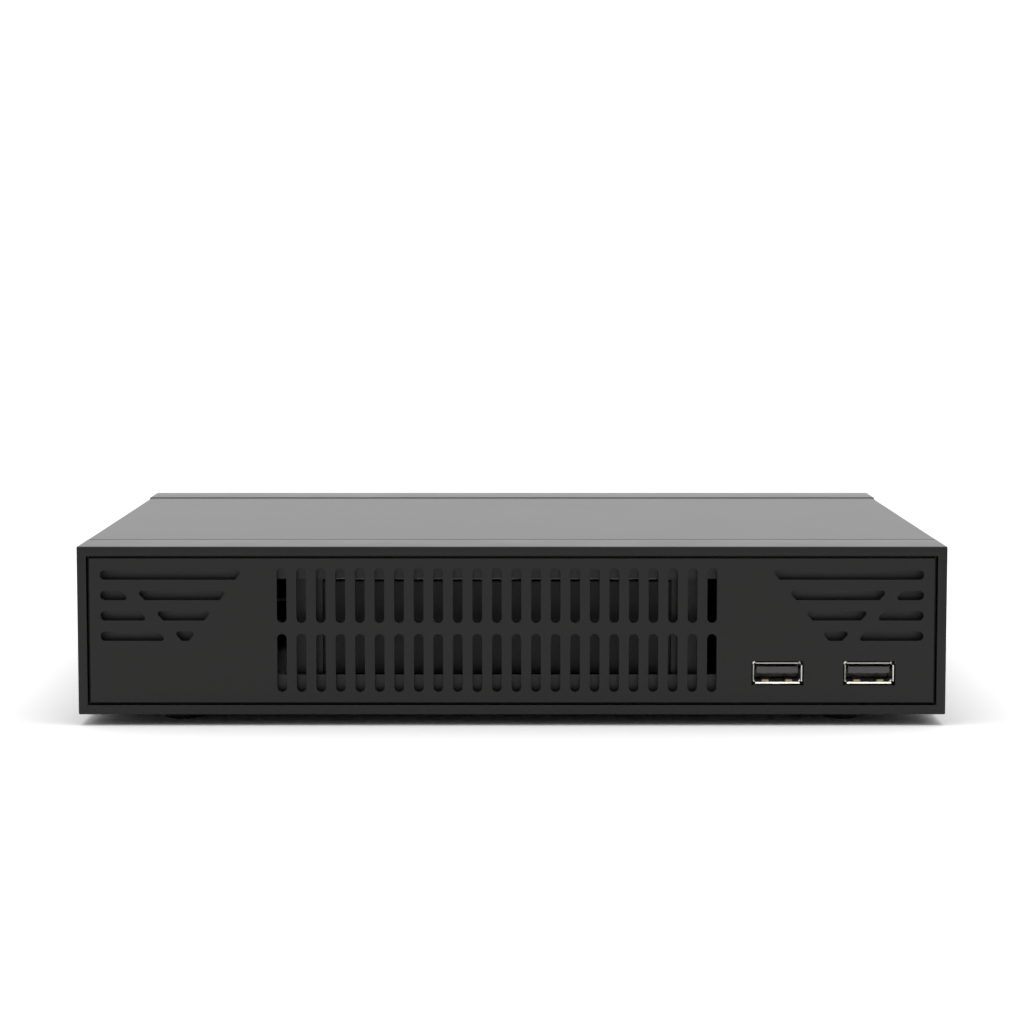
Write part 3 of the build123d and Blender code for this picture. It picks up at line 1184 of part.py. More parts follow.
def fan_frame():
    half = FAN_SIZE / 2
    x0, x1 = FAN_OUTER, FAN_OUTER + FAN_DEPTH
    frame = block(x0, x1, FAN_Y - half, FAN_Y + half, FAN_Z - half, FAN_Z + half)
    frame = fillet(frame.edges().filter_by(Axis.X), 2.5)
    frame -= rod_x(x0 - 1, x1 + 1, FAN_Y, FAN_Z, FAN_BORE)
    frame -= [rod_x(x0 - 1, x1 + 1, y, z, FAN_SCREW_RADIUS + 0.5) for y, z in fan_screw_places()]
    plate = rod_x(x0, x0 + FAN_STRUT, FAN_Y, FAN_Z, FAN_HUB_RADIUS)
    for turn in range(4):
        strut = block(x0, x0 + FAN_STRUT, -0.9, 0.9, 0, FAN_BORE + 1)
        plate += Pos(0, FAN_Y, FAN_Z) * Rot(45 + 90 * turn, 0, 0) * strut
    frame += plate
    frame += rod_x(x0 + 1, x0 + 6.0, FAN_Y, FAN_Z, 3.2)
    return frame - rod_x(x0 + 1.2, x0 + 7, FAN_Y, FAN_Z, FAN_SHAFT + RUNNING_GAP)


def fan_rotor():
    """Cup-shaped hub on a shaft, with pitched blades."""
    back, front = FAN_OUTER + FAN_STRUT + 0.5, FAN_OUTER + FAN_DEPTH - 0.6
    hub = rod_x(back, front, FAN_Y, FAN_Z, FAN_HUB_RADIUS)
    hub -= rod_x(back - 1, front - 1.2, FAN_Y, FAN_Z, FAN_HUB_RADIUS - 1.2)
    hub += rod_x(FAN_OUTER + 1.6, front - 1, FAN_Y, FAN_Z, FAN_SHAFT)
    depth = front - back
    middle = (back + front) / 2
    reach = rod_x(back, front, 0, 0, FAN_BLADE_RADIUS)
    reach -= rod_x(back - 1, front + 1, 0, 0, FAN_HUB_RADIUS - 0.5)
    for i in range(FAN_BLADES):
        blade = Pos(middle, 0, FAN_BLADE_RADIUS / 2) * Rot(0, 0, 38) * Box(1.1, depth * 1.5, FAN_BLADE_RADIUS)
        blade = Rot(i * 360 / FAN_BLADES, 0, 0) * blade
        hub += Pos(0, FAN_Y, FAN_Z) * (blade & reach)
    return hub


def fan_screw(y, z):
    head = FAN_OUTER + FAN_DEPTH
    return rod_x(-WALL_OUTER, head, y, z, FAN_SCREW_RADIUS - NEST) + rod_x(head, head + 1.6, y, z, 2.6)


# ---------------------------------------------------------------- build everything
def build():
    os.makedirs("parts", exist_ok=True)
    save("front_frame", front_frame())
    save("rear_frame", rear_frame())
    feet = foot_places(FOOT_FRONT_Y) + foot_places(FOOT_REAR_Y)
    save("rubber_feet", *[rubber_foot(x, y) for x, y in feet])
    save("front_panel", front_panel())
    save("panel_screws", *[panel_screw(x, z) for x, z in BOSS_PLACES])
    save("front_shield", front_shield())
    save("chassis_tray", chassis_tray())
    save("top_cover", top_cover())
    save("cover_screws", *[cover_screw(side, y) for side in (-1, 1) for y in COVER_SCREW_Y])
    save("clinch_nuts", *[clinch_nut(side, y) for side in (-1, 1) for y in COVER_SCREW_Y])
    flange_screws = [floor_screw(x, y, FLANGE_TOP, FLOOR_TOP - SHEET) for x, y in flange_screw_places()]
    board_screws = [floor_screw(x, y, BOARD_TOP, FLOOR_TOP + 0.5) for x, y in STANDOFF_PLACES]
    cage_screws = [floor_screw(x, y, FLOOR_TOP + CAGE_SHEET, FLOOR_TOP - SHEET) for x, y in CAGE_SCREW_PLACES]
    save("floor_screws", *flange_screws, *board_screws, *cage_screws)
    save("rear_panel", rear_panel())

    usb_places = [(x, PANEL_RECESS + 0.2, 1) for x in USB_FRONT_X] + [(USB_REAR_X, BODY_DEPTH, -1)]
    save("usb_shells", *[usb_shell(*place) for place in usb_places])
    save("usb_tongues", *[usb_tongue(*place) for place in usb_places])
    save("usb_contacts", *[strip for place in usb_places for strip in usb_contacts(*place)])
    save("usb_springs", *[spring for place in usb_places for spring in usb_springs(*place)])

    save("bnc_housings", *[bnc_housing(x) for x in BNC_X])
    save("bnc_barrels", *[bnc_barrel(x) for x in BNC_X])
    save("bnc_insulators", *[bnc_insulator(x) for x in BNC_X])
    save("bnc_contacts", *[bnc_contact(x) for x in BNC_X])
    save("rca_housing", rca_housing())
    save("rca_barrels", *[rca_barrel(z) for z in rca_heights()])
    save("rca_insulators", *[rca_insulator(z) for z in rca_heights()])
    save("vga_shell", vga_shell())
    save("vga_insert", vga_insert())
    save("vga_jackscrews", *[vga_jackscrew(x) for x in vga_screw_places()])
    save("hdmi_shell", hdmi_shell())
    save("hdmi_tongue", hdmi_tongue())
    save("lan_shell", lan_shell())
    save("lan_insert", lan_insert())
    save("lan_contacts", *lan_contacts())
    save("dc_jack", dc_jack())
    save("dc_pin", dc_pin())
    save("switch_housing", switch_housing())
    save("power_rocker", power_rocker())

    save("main_board", main_board())
    save("board_standoffs", *[standoff(x, y) for x, y in STANDOFF_PLACES])
    save("soc_package", soc_package())
    save("soc_heatsink", soc_heatsink())
    save("board_chips", *memory_chips(), *decoder_chips())
    save("capacitors", *capacitors())
    save("inductors", *inductors())
    save("cell_holder", cell_holder())
    save("coin_cell", coin_cell())

    save("drive_cage", drive_cage())
    save("drive_grommets", *[grommet(side, y) for side in (-1, 1) for y in SIDE_HOLES_Y])
    save("drive_screws", *[drive_screw(side, y) for side in (-1, 1) for y in SIDE_HOLES_Y])
    save("drive_casting", drive_casting())
    save("drive_lid", drive_lid(), *[lid_screw(x, y) for x, y in lid_screw_places()])
    save("drive_platters", spindle_hub(), *[platter(z) for z in disc_levels()])
    save("drive_actuator", head_actuator())
    save("drive_magnets", *magnet_yokes(), yoke_post())
    save("drive_board", drive_board(), drive_socket())

    leads = (DATA_LEAD, POWER_LEAD)
    plugs = [plug(x, width + 3.0) for x, width, _ in leads for plug in (drive_plug, board_header)]
    save("lead_plugs", *plugs, fan_plug())
    save("drive_leads", *[drive_lead(*lead) for lead in leads])
    save("fan_lead", fan_lead())
    save("fan_frame", fan_frame(), *[fan_screw(y, z) for y, z in fan_screw_places()])
    save("fan_rotor", fan_rotor())


build()
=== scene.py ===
"""Finishes and small parts for the compact video recorder, laid out as a Blender add-on."""

import json
import math

import bmesh
import bpy
from bpy.props import FloatProperty, FloatVectorProperty, IntProperty, PointerProperty
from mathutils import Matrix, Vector


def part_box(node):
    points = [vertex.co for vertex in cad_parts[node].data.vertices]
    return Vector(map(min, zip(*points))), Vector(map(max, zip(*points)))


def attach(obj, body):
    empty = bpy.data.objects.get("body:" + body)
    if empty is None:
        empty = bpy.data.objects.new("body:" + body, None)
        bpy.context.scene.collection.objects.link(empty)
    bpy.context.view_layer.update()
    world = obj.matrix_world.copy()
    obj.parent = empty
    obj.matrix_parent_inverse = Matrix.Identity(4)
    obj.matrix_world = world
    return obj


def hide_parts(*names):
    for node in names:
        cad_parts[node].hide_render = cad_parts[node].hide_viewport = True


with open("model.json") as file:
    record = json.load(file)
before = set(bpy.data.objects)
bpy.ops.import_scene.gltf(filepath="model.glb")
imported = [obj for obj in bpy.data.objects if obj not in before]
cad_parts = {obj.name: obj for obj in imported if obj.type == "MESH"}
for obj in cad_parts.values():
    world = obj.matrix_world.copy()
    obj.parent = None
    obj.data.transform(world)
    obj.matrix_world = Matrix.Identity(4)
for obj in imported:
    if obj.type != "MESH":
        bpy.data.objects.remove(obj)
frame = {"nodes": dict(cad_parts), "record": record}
NODES = frame["nodes"]
BODY_OF = {node: body for body, nodes in frame["record"]["behaviour"]["bodies"].items() for node in nodes}
SLOT_OF = {row["node"]: row["material_slot"] for row in frame["record"]["subparts"]}
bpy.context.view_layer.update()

bl_info = {
    "name": "Compact video recorder",
    "version": (1, 0, 0),
    "blender": (4, 5, 0),
    "location": "View3D > Sidebar > Recorder",
    "description": "Finishes, fasteners and board parts of a compact video recorder",
    "category": "Object",
}

MM = 0.001
CASE = "recorder"  # the body that carries the case and all that is fixed in it
WELD = 0.002 * MM  # corners of a CAD mesh that lie this near are one corner
EASED_ANGLE = math.radians(40)  # edges sharper than this are eased
FOLD_ANGLE = math.radians(35)  # folds of the USB shells sharper than this stay crisp
QUARTER = math.pi / 2

# Widths of the eased edges of the small pieces.
PLATED_EDGE = 0.07 * MM
SMALL_EDGE = 0.08 * MM
FINE_EDGE = 0.1 * MM
MOULDED_EDGE = 0.12 * MM
TONGUE_EDGE = 0.18 * MM

PLATED_NODES = ("bnc_barrels", "rca_barrels", "vga_shell", "vga_jackscrews", "hdmi_shell", "lan_shell")

# Nodes of cross-head screws: the axis they lie along, the height of a head and the radius of a shank.
SCREWS = (
    ("floor_screws", 2, 1.6 * MM, 1.5 * MM),
    ("panel_screws", 1, 1.6 * MM, 1.0 * MM),
    ("drive_screws", 0, 1.8 * MM, 1.6 * MM),
)

CAN_STEP, CAN_RIM = 0.35 * MM, 0.55 * MM  # a can's top above its sleeve, and inside it
LEG_SIZE = (0.9 * MM, 0.34 * MM, 0.2 * MM)
LEG_OUT, LEG_UP = 0.35 * MM, 0.12 * MM  # middle of a leg from the side of its chip, and above the board

# Rectangles of the main board with small parts, in millimetres: centre x and y, width and depth.
PART_FIELDS = ((82.0, -76.5, 40.0, 18.0), (40.0, 64.5, 32.0, 12.0))

SENSOR_WIDTH = 36.0  # millimetres
BRIGHT_SIDE = (0.0, 1.0, 1.4)  # direction in which the room is bright
DIM_UNTIL, BRIGHT_FROM = -0.4, 0.6  # where along it the room starts and ends to brighten
FLOOR_REACH = 30.0  # metres
LAMP_SIZE, LAMP_PLACE = (1.2, 0.4), (0.0, -0.2, 1.3)  # metres


# ---------------------------------------------------------------- settings
def colour(name, description, default):
    """A colour that a user may change."""
    return FloatVectorProperty(
        name=name, description=description, default=default, size=3, min=0.0, max=1.0, subtype="COLOR"
    )


def length(name, description, default):
    """A length whose default is given in millimetres."""
    return FloatProperty(
        name=name, description=description, default=default * MM, min=0.0, unit="LENGTH", precision=6
    )


def share(name, description, default):
    """A share from nought to one."""
    return FloatProperty(
        name=name, description=description, default=default, min=0.0, max=1.0, subtype="FACTOR"
    )


class CasingSettings(bpy.types.PropertyGroup):
    """Colours, surfaces and edges of the case."""

    moulding: colour("Moulding", "Colour of the end frames and the front panel", (0.0095, 0.0095, 0.009))
    moulding_roughness: share("Moulding roughness", "How matt the mouldings are", 0.31)
    paint: colour("Paint", "Colour of the cover's powder coat", (0.019, 0.019, 0.0186))
    paint_roughness: share("Paint roughness", "How matt the cover is", 0.36)
    sheet: colour("Inner sheet", "Colour of the shield and the cage behind the slots", (0.02, 0.02, 0.0195))
    galvanised: colour("Galvanised sheet", "Colour of the chassis", (0.36, 0.37, 0.38))
    screw: colour("Screw zinc", "Colour of the plated screws", (0.6, 0.59, 0.55))
    black_screw: colour("Screw black", "Colour of the cover's screws", (0.022, 0.022, 0.022))
    rubber: colour("Rubber", "Colour of the feet", (0.018, 0.018, 0.018))
    edge: length("Moulded edge", "Width of the eased edges of the mouldings", 0.24)
    sheet_edge: length("Sheet edge", "Width of the eased edges of the painted sheet", 0.09)


class SocketSettings(bpy.types.PropertyGroup):
    """Colours of the sockets and sizes of their small parts."""

    nickel: colour("Nickel", "Colour of the plated shells", (0.8, 0.77, 0.7))
    gold: colour("Gold", "Colour of the plated contacts", (0.83, 0.56, 0.22))
    bronze: colour("Bronze", "Colour of the springs of the USB sockets", (0.5, 0.4, 0.24))
    # Painted shade: the USB contacts get a gold darkened far down, which stands in for the shade inside the
    # sockets' mouths.
    contact_painted_shade: colour("Contact", "Colour of the contacts of the USB sockets", (0.09, 0.07, 0.045))
    black: colour("Black plastic", "Colour of the socket bodies", (0.018, 0.018, 0.018))
    white: colour("White plastic", "Colour of the video and audio insulators", (0.76, 0.74, 0.68))
    blue: colour("Blue plastic", "Colour of the monitor socket", (0.015, 0.05, 0.26))
    tongue: colour("Tongue", "Colour of the tongues of the USB sockets", (0.05, 0.05, 0.05))
    usb_lip: length("USB lip", "Width of the sloping lip round a USB socket's mouth", 0.48)


class BoardSettings(bpy.types.PropertyGroup):
    """Sizes and numbers of the small board parts."""

    mask: colour("Solder mask", "Colour of the boards", (0.008, 0.075, 0.03))
    epoxy: colour("Epoxy", "Colour of the chips", (0.022, 0.022, 0.023))
    ferrite: colour("Ferrite", "Colour of the inductors", (0.06, 0.06, 0.062))
    tin: colour("Tin", "Colour of the legs and the soldered ends", (0.66, 0.65, 0.62))
    aluminium: colour("Aluminium", "Colour of the capacitors' tops and the coin cell", (0.72, 0.73, 0.74))
    sleeve: colour("Sleeve", "Colour of the capacitors' sleeves", (0.02, 0.021, 0.026))
    ceramic: colour("Ceramic", "Colour of the small parts", (0.34, 0.24, 0.15))
    anodised: colour("Anodised", "Colour of the heatsink", (0.024, 0.024, 0.026))
    brass: colour("Brass", "Colour of the standoffs", (0.7, 0.5, 0.24))
    part_count: IntProperty(
        name="Small parts", description="Places tried for small parts in a field", default=150, min=0
    )
    part_length: length("Small part length", "Length of a small part", 1.6)
    lead_pitch: length("Lead pitch", "Distance between a chip's legs", 0.8)
    seed: IntProperty(name="Seed", description="Seed of the small parts' places", default=7)


class DriveSettings(bpy.types.PropertyGroup):
    """Colours of the hard drive, the leads and the fan."""

    casting: colour("Casting", "Colour of the drive's casting", (0.022, 0.022, 0.023))
    lid: colour("Lid", "Colour of the drive's lid", (0.62, 0.63, 0.64))
    arm: colour("Arm", "Colour of the head arm", (0.6, 0.61, 0.62))
    magnet: colour("Magnet", "Colour of the magnets' plates", (0.66, 0.64, 0.6))
    red: colour("Red sleeve", "Colour of the drive's leads", (0.4, 0.018, 0.014))
    black: colour("Black sleeve", "Colour of the fan's lead", (0.018, 0.018, 0.018))
    fan: colour("Fan plastic", "Colour of the fan", (0.016, 0.016, 0.017))


class StageSettings(bpy.types.PropertyGroup):
    """Camera, floor and lights."""

    lens: FloatProperty(name="Lens", description="Focal length in millimetres", default=114.68, min=1.0)
    pitch: FloatProperty(
        name="Pitch",
        description="How far the camera looks down",
        default=math.radians(6.25),
        subtype="ANGLE",
    )
    shift: FloatProperty(name="Shift", description="Upward shift of the picture", default=0.106)
    distance: length("Distance", "Camera to the top front edge, along its axis", 860.8)
    rise: length("Rise", "Top front edge above the camera's axis", 19.5)
    floor: colour("Floor", "Colour of the floor", (0.965, 0.965, 0.965))
    overhead: FloatProperty(
        name="Overhead light", description="Power of the overhead light", default=5.7, unit="POWER"
    )
    front: share("Front dimming", "Brightness of the room in front of the recorder", 0.42)
    back: FloatProperty(
        name="Background", description="Brightness of the background", default=1.12, min=0.0
    )


class RecorderSettings(bpy.types.PropertyGroup):
    """All settings of the recorder."""

    casing: PointerProperty(type=CasingSettings)
    sockets: PointerProperty(type=SocketSettings)
    board: PointerProperty(type=BoardSettings)
    drive: PointerProperty(type=DriveSettings)
    stage: PointerProperty(type=StageSettings)


def settings():
    """The recorder's settings in the open scene."""
    return bpy.context.scene.recorder


# ---------------------------------------------------------------- finishes
SEEN_FROM_ABOVE = (1.0, 1.0, 0.0)  # a board's pattern runs straight down through it
TRACK_SCALE = 260.0  # cells of the track pattern in a metre
HOLE_SCALE = 330.0  # plated holes in a metre
TINNED_HOLE = (0.42, 0.4, 0.33)
RING_SCALE = 600.0  # rings of a disc in a metre
DISC_DARK, DISC_LIGHT = (0.8, 0.8, 0.82), (0.88, 0.88, 0.89)


def new_material(name):
    """A new material, its node tree and its shader."""
    material = bpy.data.materials.new(name)
    material.use_nodes = True
    tree = material.node_tree
    return material, tree, tree.nodes["Principled BSDF"]


def place(tree, stretch=None, offset=(0, 0, 0)):
    """Object coordinates; a stretch draws them out along each axis, and an offset moves them."""
    coordinates = tree.nodes.new("ShaderNodeTexCoord").outputs["Object"]
    if not stretch:
        return coordinates
    mapping = tree.nodes.new("ShaderNodeMapping")
    mapping.inputs["Scale"].default_value = stretch
    mapping.inputs["Location"].default_value = offset
    tree.links.new(coordinates, mapping.inputs["Vector"])
    return mapping.outputs["Vector"]


def noise(tree, grain_size, detail=2.0, stretch=None):
    """Noise whose blobs are about grain_size millimetres across."""
    texture = tree.nodes.new("ShaderNodeTexNoise")
    texture.inputs["Scale"].default_value = 1 / (grain_size * MM)
    texture.inputs["Detail"].default_value = detail
    tree.links.new(place(tree, stretch), texture.inputs["Vector"])
    return texture.outputs["Fac"]


def spread(tree, value, low, high, source=(0.3, 0.7)):
    """Maps a value from its source range to low and high."""
    ranges = tree.nodes.new("ShaderNodeMapRange")
    ranges.inputs["From Min"].default_value, ranges.inputs["From Max"].default_value = source
    ranges.inputs["To Min"].default_value, ranges.inputs["To Max"].default_value = low, high
    tree.links.new(value, ranges.inputs["Value"])
    return ranges.outputs["Result"]


def picked(sockets, kind, name=None):
    """The first socket of a kind, and of a name where one is given."""
    return next(socket for socket in sockets if socket.type == kind and name in (None, socket.name))


def mixed(tree, factor, first, second):
    """Colour between two tones; either may be a socket."""
    mix = tree.nodes.new("ShaderNodeMix")
    mix.data_type = "RGBA"
    for name, tone in (("A", first), ("B", second)):
        socket = picked(mix.inputs, "RGBA", name)
        if isinstance(tone, tuple):
            socket.default_value = (*tone, 1.0)
        else:
            tree.links.new(tone, socket)
    tree.links.new(factor, mix.inputs[0])
    return picked(mix.outputs, "RGBA")


def relief(tree, height, depth):
    """Bump whose full height is depth millimetres."""
    bump = tree.nodes.new("ShaderNodeBump")
    bump.inputs["Distance"].default_value = depth * MM
    tree.links.new(height, bump.inputs["Height"])
    return bump.outputs["Normal"]


def lighter(tone, gain):
    """A tone made lighter by a gain, never past white."""
    return tuple(min(1.0, channel * gain + 0.01) for channel in tone)


def finish(
    name,
    tone,
    roughness,
    metallic=0.0,
    grain=0.25,
    depth=0.01,
    variation=0.08,
    polish=0.03,
    patch=14.0,
    stretch=None,
    specular=0.5,
    coat=0.0,
    wear=0.0,
):
    """Finish with a fine grain, slow changes of tone and polish, and rubbed high spots where it has wear.

    Grain and patch are the sizes of the fine and the slow pattern and depth the height of the grain,
    all in millimetres. Variation and polish are how far the tone and the roughness stray.
    """
    material, tree, bsdf = new_material(name)
    fine = noise(tree, grain, 3.0, stretch)
    slow = noise(tree, patch, 3.0)
    dark = tuple(c * (1 - variation) for c in tone)
    light = tuple(min(1.0, c * (1 + variation)) for c in tone)
    surface = mixed(tree, spread(tree, slow, 0.0, 1.0), dark, light)
    if wear:
        high_spots = spread(tree, fine, 0.0, wear, (0.55, 0.75))
        surface = mixed(tree, high_spots, surface, lighter(tone, 1.6))
    tree.links.new(surface, bsdf.inputs["Base Color"])
    tree.links.new(spread(tree, slow, roughness - polish, roughness + polish), bsdf.inputs["Roughness"])
    tree.links.new(relief(tree, fine, depth), bsdf.inputs["Normal"])
    bsdf.inputs["Metallic"].default_value = metallic
    bsdf.inputs["Specular IOR Level"].default_value = specular
    bsdf.inputs["Coat Weight"].default_value = coat
    return material


def circuit_board(name, mask):
    """Solder mask with fine tracks, pads and through-plated holes under it."""
    material, tree, bsdf = new_material(name)
    tracks = tree.nodes.new("ShaderNodeTexVoronoi")
    tracks.distance = "MANHATTAN"
    tracks.feature = "DISTANCE_TO_EDGE"
    tracks.inputs["Scale"].default_value = TRACK_SCALE
    tree.links.new(place(tree, SEEN_FROM_ABOVE), tracks.inputs["Vector"])
    line = spread(tree, tracks.outputs["Distance"], 1.0, 0.0, (0.05, 0.09))
    holes = tree.nodes.new("ShaderNodeTexVoronoi")
    holes.inputs["Scale"].default_value = HOLE_SCALE
    tree.links.new(place(tree, SEEN_FROM_ABOVE), holes.inputs["Vector"])
    hole = spread(tree, holes.outputs["Distance"], 1.0, 0.0, (0.1, 0.14))
    board = mixed(tree, spread(tree, line, 0.0, 0.8, (0.0, 1.0)), mask, lighter(mask, 2.1))
    tree.links.new(mixed(tree, hole, board, TINNED_HOLE), bsdf.inputs["Base Color"])
    tree.links.new(spread(tree, noise(tree, 3.0), 0.28, 0.4), bsdf.inputs["Roughness"])
    tree.links.new(relief(tree, line, 0.03), bsdf.inputs["Normal"])
    bsdf.inputs["Coat Weight"].default_value = 0.2
    return material


def mirror_disc(name):
    """Sputtered disc: a mirror with hardly visible rings."""
    material, tree, bsdf = new_material(name)
    low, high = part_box("drive_platters")
    centre = (low + high) / 2
    rings = tree.nodes.new("ShaderNodeTexWave")
    rings.wave_type = "RINGS"
    rings.rings_direction = "Z"
    rings.inputs["Scale"].default_value = RING_SCALE
    tree.links.new(place(tree, (1, 1, 1), (-centre.x, -centre.y, 0)), rings.inputs["Vector"])
    tree.links.new(spread(tree, rings.outputs["Fac"], 0.04, 0.08, (0, 1)), bsdf.inputs["Roughness"])
    tree.links.new(mixed(tree, rings.outputs["Fac"], DISC_DARK, DISC_LIGHT), bsdf.inputs["Base Color"])
    bsdf.inputs["Metallic"].default_value = 1.0
    return material


def dress(material, *names):
    """Gives a finish to CAD nodes."""
    for name in names:
        mesh = NODES[name].data
        mesh.materials.clear()
        mesh.materials.append(material)


# ---------------------------------------------------------------- meshes
def own_mesh(name, vertices, faces):
    """A new mesh from its corners and faces."""
    mesh = bpy.data.meshes.new(name)
    mesh.from_pydata(vertices, [], faces)
    mesh.validate()
    return mesh


def add_piece(name, mesh, material, body, slot, *replaced):
    """Puts a finished mesh in the scene as a piece of a body."""
    piece = bpy.data.objects.new(name, mesh)
    bpy.context.scene.collection.objects.link(piece)
    mesh.materials.clear()
    mesh.materials.append(material)
    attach(piece, body)
    if replaced:
        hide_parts(*replaced)
    return piece


def joined_node(node):
    """A CAD node's shape with its loose triangles joined and its flat faces made whole."""
    work = bmesh.new()
    work.from_mesh(NODES[node].data)
    bmesh.ops.remove_doubles(work, verts=work.verts, dist=WELD)
    bmesh.ops.dissolve_degenerate(work, edges=work.edges, dist=WELD / 2)
    flat = math.radians(0.3)
    bmesh.ops.dissolve_limit(work, angle_limit=flat, verts=work.verts, edges=work.edges)
    vertices = [v.co.copy() for v in work.verts]
    for index, vertex in enumerate(work.verts):
        vertex.index = index
    faces = [[v.index for v in face.verts] for face in work.faces]
    work.free()
    return own_mesh(node, vertices, faces)


def baked(work):
    """The plain mesh of an object after its modifiers, which are then removed."""
    bpy.context.view_layer.update()
    evaluated = work.evaluated_get(bpy.context.evaluated_depsgraph_get())
    mesh = bpy.data.meshes.new_from_object(evaluated)
    work.modifiers.clear()
    bpy.data.objects.remove(work)
    return mesh


def eased(node, width, material, segments=2):
    """A CAD node with its sharp edges eased, so that they catch the light."""
    work = bpy.data.objects.new(node + "_work", joined_node(node))
    bpy.context.scene.collection.objects.link(work)
    bevel = work.modifiers.new("ease", "BEVEL")
    bevel.width = width
    bevel.segments = segments
    bevel.limit_method = "ANGLE"
    bevel.angle_limit = EASED_ANGLE
    bevel.use_clamp_overlap = True
    bevel.harden_normals = True
    work.data.shade_smooth()
    work.data.set_sharp_from_angle(angle=EASED_ANGLE)
    return add_piece(node + "_eased", baked(work), material, BODY_OF[node], SLOT_OF[node], node)


def islands(node):
    """Lowest and highest corners of each separate solid of a CAD node."""
    work = bmesh.new()
    work.from_mesh(NODES[node].data)
    bmesh.ops.remove_doubles(work, verts=work.verts, dist=WELD)
    seen, found = set(), []
    for start in work.verts:
        if start in seen:
            continue
        stack, members = [start], []
        seen.add(start)
        while stack:
            vertex = stack.pop()
            members.append(vertex.co.copy())
            for edge in vertex.link_edges:
                other = edge.other_vert(vertex)
                if other not in seen:
                    seen.add(other)
                    stack.append(other)
        low = Vector([min(c[i] for c in members) for i in range(3)])
        high = Vector([max(c[i] for c in members) for i in range(3)])
        found.append((low, high))
    work.free()
    return found


# ---------------------------------------------------------------- USB sockets
def rounded_loop(width, height, radius, steps=4):
    """Points round a rounded rectangle about the origin."""
    points = []
    for side_x, side_z, start in ((1, 1, 0), (-1, 1, 90), (-1, -1, 180), (1, -1, 270)):
        for i in range(steps + 1):
            angle = math.radians(start + 90 * i / steps)
            x = side_x * (width / 2 - radius) + radius * math.cos(angle)
            points.append((x, side_z * (height / 2 - radius) + radius * math.sin(angle)))
    return points


def skin(rings):
    """Vertices and faces of a closed skin through rings that have the same number of points."""
    count = len(rings[0])
    faces = [tuple(range(count)), tuple(range((len(rings) - 1) * count, len(rings) * count))]
    for ring in range(len(rings) - 1):
        for i in range(count):
            j, base = (i + 1) % count, ring * count
            faces.append((base + i, base + j, base + count + j, base + count + i))
    return [point for ring in rings for point in ring], faces


def usb_shell(low, high, lip, direction):
    """Folded shell of a USB socket: a tube with four flared lips that leave its corners open."""
    centre_x, centre_z = (low.x + high.x) / 2, (low.z + high.z) / 2
    half_x, half_z = (high.x - low.x) / 2, (high.z - low.z) / 2
    mouth, back = (low.y, high.y) if direction > 0 else (high.y, low.y)
    wall, rim, corner, reach = 0.4 * MM, 0.06 * MM, 0.7 * MM, 3.6 * MM
    outer_radius = 1.0 * MM
    inner_radius = outer_radius - wall
    tube = []
    for inset, radius, y in (
        (0.0, outer_radius, back),
        (0.0, outer_radius, mouth + direction * reach),
        (wall, inner_radius, mouth + direction * reach),
        (wall, inner_radius, back - direction * wall),
    ):
        loop = rounded_loop(2 * (half_x - inset), 2 * (half_z - inset), radius)
        tube.append([(centre_x + x, y, centre_z + z) for x, z in loop])
    parts = [skin(tube)]
    # Each slope is given by points: how deep behind the mouth, and how far in from the outside.
    bottom = ((0.1 * MM, 0.14 * MM), (0.45 * MM, lip))
    top = ((0.05 * MM, 0.22 * MM), (0.3 * MM, wall))
    side = ((0.12 * MM, 0.2 * MM), (0.3 * MM, 0.36 * MM))
    for across, up, slope in ((0, -1, bottom), (0, 1, top), (-1, 0, side), (1, 0, side)):
        profile = [(reach, 0.0), (rim, 0.0), (0.0, rim), *slope, (reach, wall)]
        run = (half_x if up else half_z) - corner
        ends = []
        for along in (-run, run):
            ring = []
            for depth, inset in profile:
                x = centre_x + (along if up else across * (half_x - inset))
                z = centre_z + (up * (half_z - inset) if up else along)
                ring.append((x, mouth + direction * depth, z))
            ends.append(ring)
        parts.append(skin(ends))
    return parts


def combined(name, parts):
    """One mesh from several lists of vertices and faces."""
    vertices, faces = [], []
    for some_vertices, some_faces in parts:
        base = len(vertices)
        vertices += some_vertices
        faces += [tuple(base + i for i in face) for face in some_faces]
    mesh = own_mesh(name, vertices, faces)
    work = bmesh.new()
    work.from_mesh(mesh)
    bmesh.ops.recalc_face_normals(work, faces=work.faces)
    work.to_mesh(mesh)
    work.free()
    return mesh


# ---------------------------------------------------------------- node trees that repeat a shape
def repeat_tree(name, sizes, build):
    """A Geometry Nodes group with named sizes; build draws it and returns its geometry."""
    tree = bpy.data.node_groups.new(name, "GeometryNodeTree")
    tree.interface.new_socket("Geometry", in_out="INPUT", socket_type="NodeSocketGeometry")
    for size_name, (kind, value) in sizes.items():
        socket = tree.interface.new_socket(size_name, in_out="INPUT", socket_type=kind)
        if value is not None:
            socket.default_value = value
    tree.interface.new_socket("Geometry", in_out="OUTPUT", socket_type="NodeSocketGeometry")
    group_in = tree.nodes.new("NodeGroupInput")
    group_out = tree.nodes.new("NodeGroupOutput")
    geometry = build(tree, group_in)
    realize = tree.nodes.new("GeometryNodeRealizeInstances")
    finished = tree.nodes.new("GeometryNodeSetMaterial")
    tree.links.new(geometry, realize.inputs["Geometry"])
    tree.links.new(realize.outputs["Geometry"], finished.inputs["Geometry"])
    tree.links.new(group_in.outputs["Material"], finished.inputs["Material"])
    tree.links.new(finished.outputs["Geometry"], group_out.inputs["Geometry"])
    return tree


